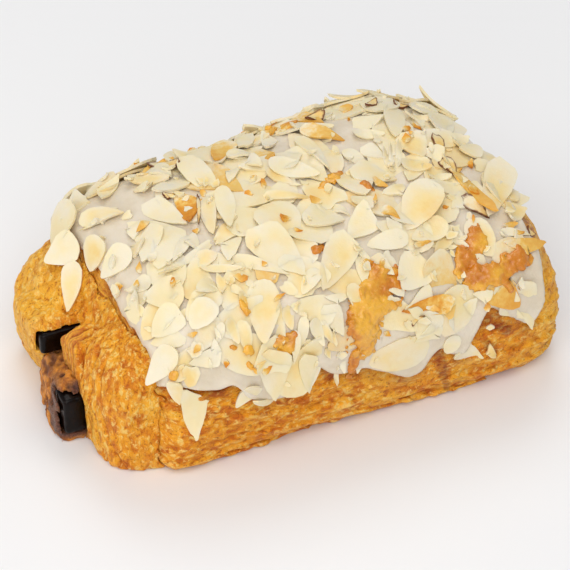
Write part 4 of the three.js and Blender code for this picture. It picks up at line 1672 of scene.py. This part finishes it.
# the part of the photograph in which the almonds lie, as a polygon of its pixels
STREWN_SEEN = [(70, 205), (170, 165), (345, 105), (450, 135), (520, 225), (525, 315),
               (470, 345), (300, 385), (165, 375), (110, 280)]


def inside_polygon(pixel, corners):
    inside = False
    for (x0, y0), (x1, y1) in zip(corners, corners[1:] + corners[:1]):
        if (y0 > pixel[1]) != (y1 > pixel[1]):
            crossing = x0 + (pixel[1] - y0) / (y1 - y0) * (x1 - x0)
            inside ^= pixel[0] < crossing
    return inside


def drop_chip(place, normal):
    along = random_way(normal)
    tilt = Vector(chance.uniform(-CHIPS["tilt"], CHIPS["tilt"], 3))
    length = chance.uniform(*CHIPS["long"])
    wide = min(length * chance.uniform(0.3, 0.9), CHIPS["widest"])
    toast = chance.uniform(0.5, 1.0) if chance.random() < CHIPS["toasted"] else 0.0
    height = pile.height(place, normal)
    pile.lay(place + normal * max(height, 0.0), (normal + tilt).normalized(), along, length / 2,
             wide / 2, "chip", yellow=chance.uniform(0, 1), toast=toast, skin=0.0)


def strew_chips():
    laid = 0
    while laid < CHIPS["seen"]:
        pixel = (chance.uniform(60, 530), chance.uniform(100, 390))
        if inside_polygon(pixel, STREWN_SEEN):
            place, _ = pile.seen(pixel, carriers_only=False)
            drop_chip(place, roll_normal(place))
            laid += 1
    for _ in range(CHIPS["behind"] * 3):
        lean, endways = chance.uniform(0.2, 1.25), 0.3 * chance.uniform(-1, 1)
        place = spot_on_roll(chance.uniform(-50, 52), 4, lean, endways)
        if place is None or icing_inside(np.array(place)[None])[0] < 1.5:
            continue
        normal = roll_normal(place)
        if laid < CHIPS["seen"] + CHIPS["behind"] and normal.dot(TO_CAMERA) < 0.15:
            drop_chip(place, normal)
            laid += 1


first_chip = len(pile.laid)
strew_chips()
chips = strewn("almond_chips", pile.laid[first_chip:], slice_kinds, almond)
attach(chips, "root")
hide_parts("icing_and_almonds")

# ---------------------------------------------------------------------------------------
# Caramel: sugar from the icing that ran together and browned in the oven into grainy amber
# lumps and films, stuck to the icing and the almonds.
# ---------------------------------------------------------------------------------------

# each run of it: the pixels that its middle passes in the photograph with its width there in
# pixels, and how thick it is as a share of that width
CARAMEL_SEEN = [
    ([(474, 229, 9), (475, 240, 14), (468, 254, 15), (460, 270, 12)], 0.32),
    ([(470, 279, 14), (484, 277, 20), (500, 270, 17), (516, 260, 15), (528, 257, 9)], 0.28),
    ([(391, 277, 16), (384, 286, 24), (376, 300, 32), (367, 318, 30), (361, 336, 24), (366, 350, 14)], 0.22),
    ([(362, 293, 9), (371, 285, 12)], 0.5),
    ([(356, 352, 8), (350, 372, 9)], 0.35),
    ([(276, 342, 9), (287, 338, 12), (296, 335, 8)], 0.4),
    ([(285, 350, 12), (291, 354, 9)], 0.4),
    ([(247, 349, 7), (251, 353, 7)], 0.4),
    ([(249, 364, 6), (252, 367, 5)], 0.4),
    ([(232, 347, 5), (236, 348, 4)], 0.4),
    ([(321, 187, 8), (331, 179, 11), (340, 173, 8)], 0.4),
    ([(315, 250, 6), (322, 247, 6)], 0.4),
    ([(172, 376, 6), (176, 374, 6)], 0.4),
    ([(241, 301, 6), (247, 313, 7)], 0.4),
    ([(268, 128, 6), (276, 122, 6)], 0.4),
    ([(366, 184, 7), (374, 190, 6)], 0.35),
    ([(505, 282, 5), (512, 290, 5)], 0.4),
]
CARAMEL = {"cube": 0.32, "thinnest": 0.5, "grain": 0.21, "lumps": 0.4, "blend": 0.6}


def caramel_balls():
    """Flattened balls in a row along each run: middle, outward way, radius, thickness."""
    balls = []
    for run, flat in CARAMEL_SEEN:
        steps = []
        for (x0, y0, w0), (x1, y1, w1) in zip(run, run[1:]):
            count = max(2, int(math.hypot(x1 - x0, y1 - y0) / 2.5))
            for share in np.linspace(0, 1, count, endpoint=False):
                steps.append((x0 + (x1 - x0) * share, y0 + (y1 - y0) * share, w0 + (w1 - w0) * share))
        steps.append(run[-1])
        for x, y, width in steps:
            place, _ = pile.seen((x, y), carriers_only=False)
            normal = roll_normal(place)
            radius = width / 2 / PIXELS_PER_MM
            thick = max(CARAMEL["thinnest"], radius * flat)
            balls.append((np.array(place), np.array(normal), radius, thick))
    return balls


def caramel_block(balls):
    middles = np.array([ball[0] for ball in balls])
    block = Block(middles.min(axis=0) - 5, middles.max(axis=0) + 5, CARAMEL["cube"])
    values = np.full(block.shape, FAR, np.float32)
    for middle, normal, radius, thick in balls:
        first = np.maximum(((middle - radius - 3) / block.cube).astype(int) - block.first, 0)
        last = np.minimum(((middle + radius + 3) / block.cube).astype(int) - block.first, block.shape)
        index = np.stack(
            np.meshgrid(*(np.arange(a, b) for a, b in zip(first, last)), indexing="ij"), axis=-1
        )
        spots = (index + block.first) * block.cube
        offset = spots - middle
        up = offset @ normal
        aside = np.linalg.norm(offset - up[..., None] * normal, axis=-1)
        scaled = np.sqrt((aside / radius) ** 2 + (up / thick) ** 2)
        distance = (scaled - 1) * np.minimum(thick, radius) * 1.1
        part = tuple(slice(a, b) for a, b in zip(first, last))
        values[part] = softly_joined(values[part], distance, CARAMEL["blend"])
    return block, values


def caramel_grain(p):
    grains = lumps(p, (1.0, 0.9, 81), (0.7, 0.5, 82))
    return CARAMEL["grain"] * grains + CARAMEL["lumps"] * lattice_noise(p, 2.4, 83)


block, values = caramel_block(caramel_balls())
points, triangles, quads = block.surface(block.with_relief(values, 1.5, caramel_grain), 0.02)
points = np.clip(points, BOX_LOW, BOX_HIGH)
caramel_surface = (points, triangles, quads)
caramel_piece = surfaced("caramel", caramel_surface, {"grain": caramel_grain(points)})


def caramel_look(nodes):
    where = object_coordinates(nodes)
    grain = nodes.attribute("grain")
    broad = nodes.noise(where, 0.12, 3.0, 0.5)
    sugar = nodes.noise(where, 1.8, 4.0, 0.7)
    colour = nodes.mix(nodes.span(broad, 0.42, 0.6), srgb(208, 124, 8), srgb(238, 176, 50))
    # pale flecks where the sugar noise stands high: painted highlight on the glossy grains; darker where the
    # grain's relief is low: painted shade in its hollows
    colour = nodes.tinted(
        colour,
        (sugar, 0.56, 0.72, 0.5, srgb(255, 222, 130)),
        (sugar, 0.44, 0.3, 0.25, srgb(196, 112, 16)),
        (grain, -0.05, -0.5, 0.6, srgb(190, 104, 8)),
    )
    return {"Base Color": colour, "Normal": nodes.bump(sugar, 0.2, 0.7)}


CARAMEL_FINISH = {
    "Roughness": 0.3,
    "Subsurface Weight": 0.08,
    "Subsurface Radius": (1.0, 0.5, 0.12),
    "Subsurface Scale": 1.0 * MM,
    "Coat Weight": 0.5,
    "Coat Roughness": 0.15,
}
caramel_piece.data.materials.append(material("caramel", caramel_look, **CARAMEL_FINISH))
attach(caramel_piece, "root")
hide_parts("icing_and_almonds")
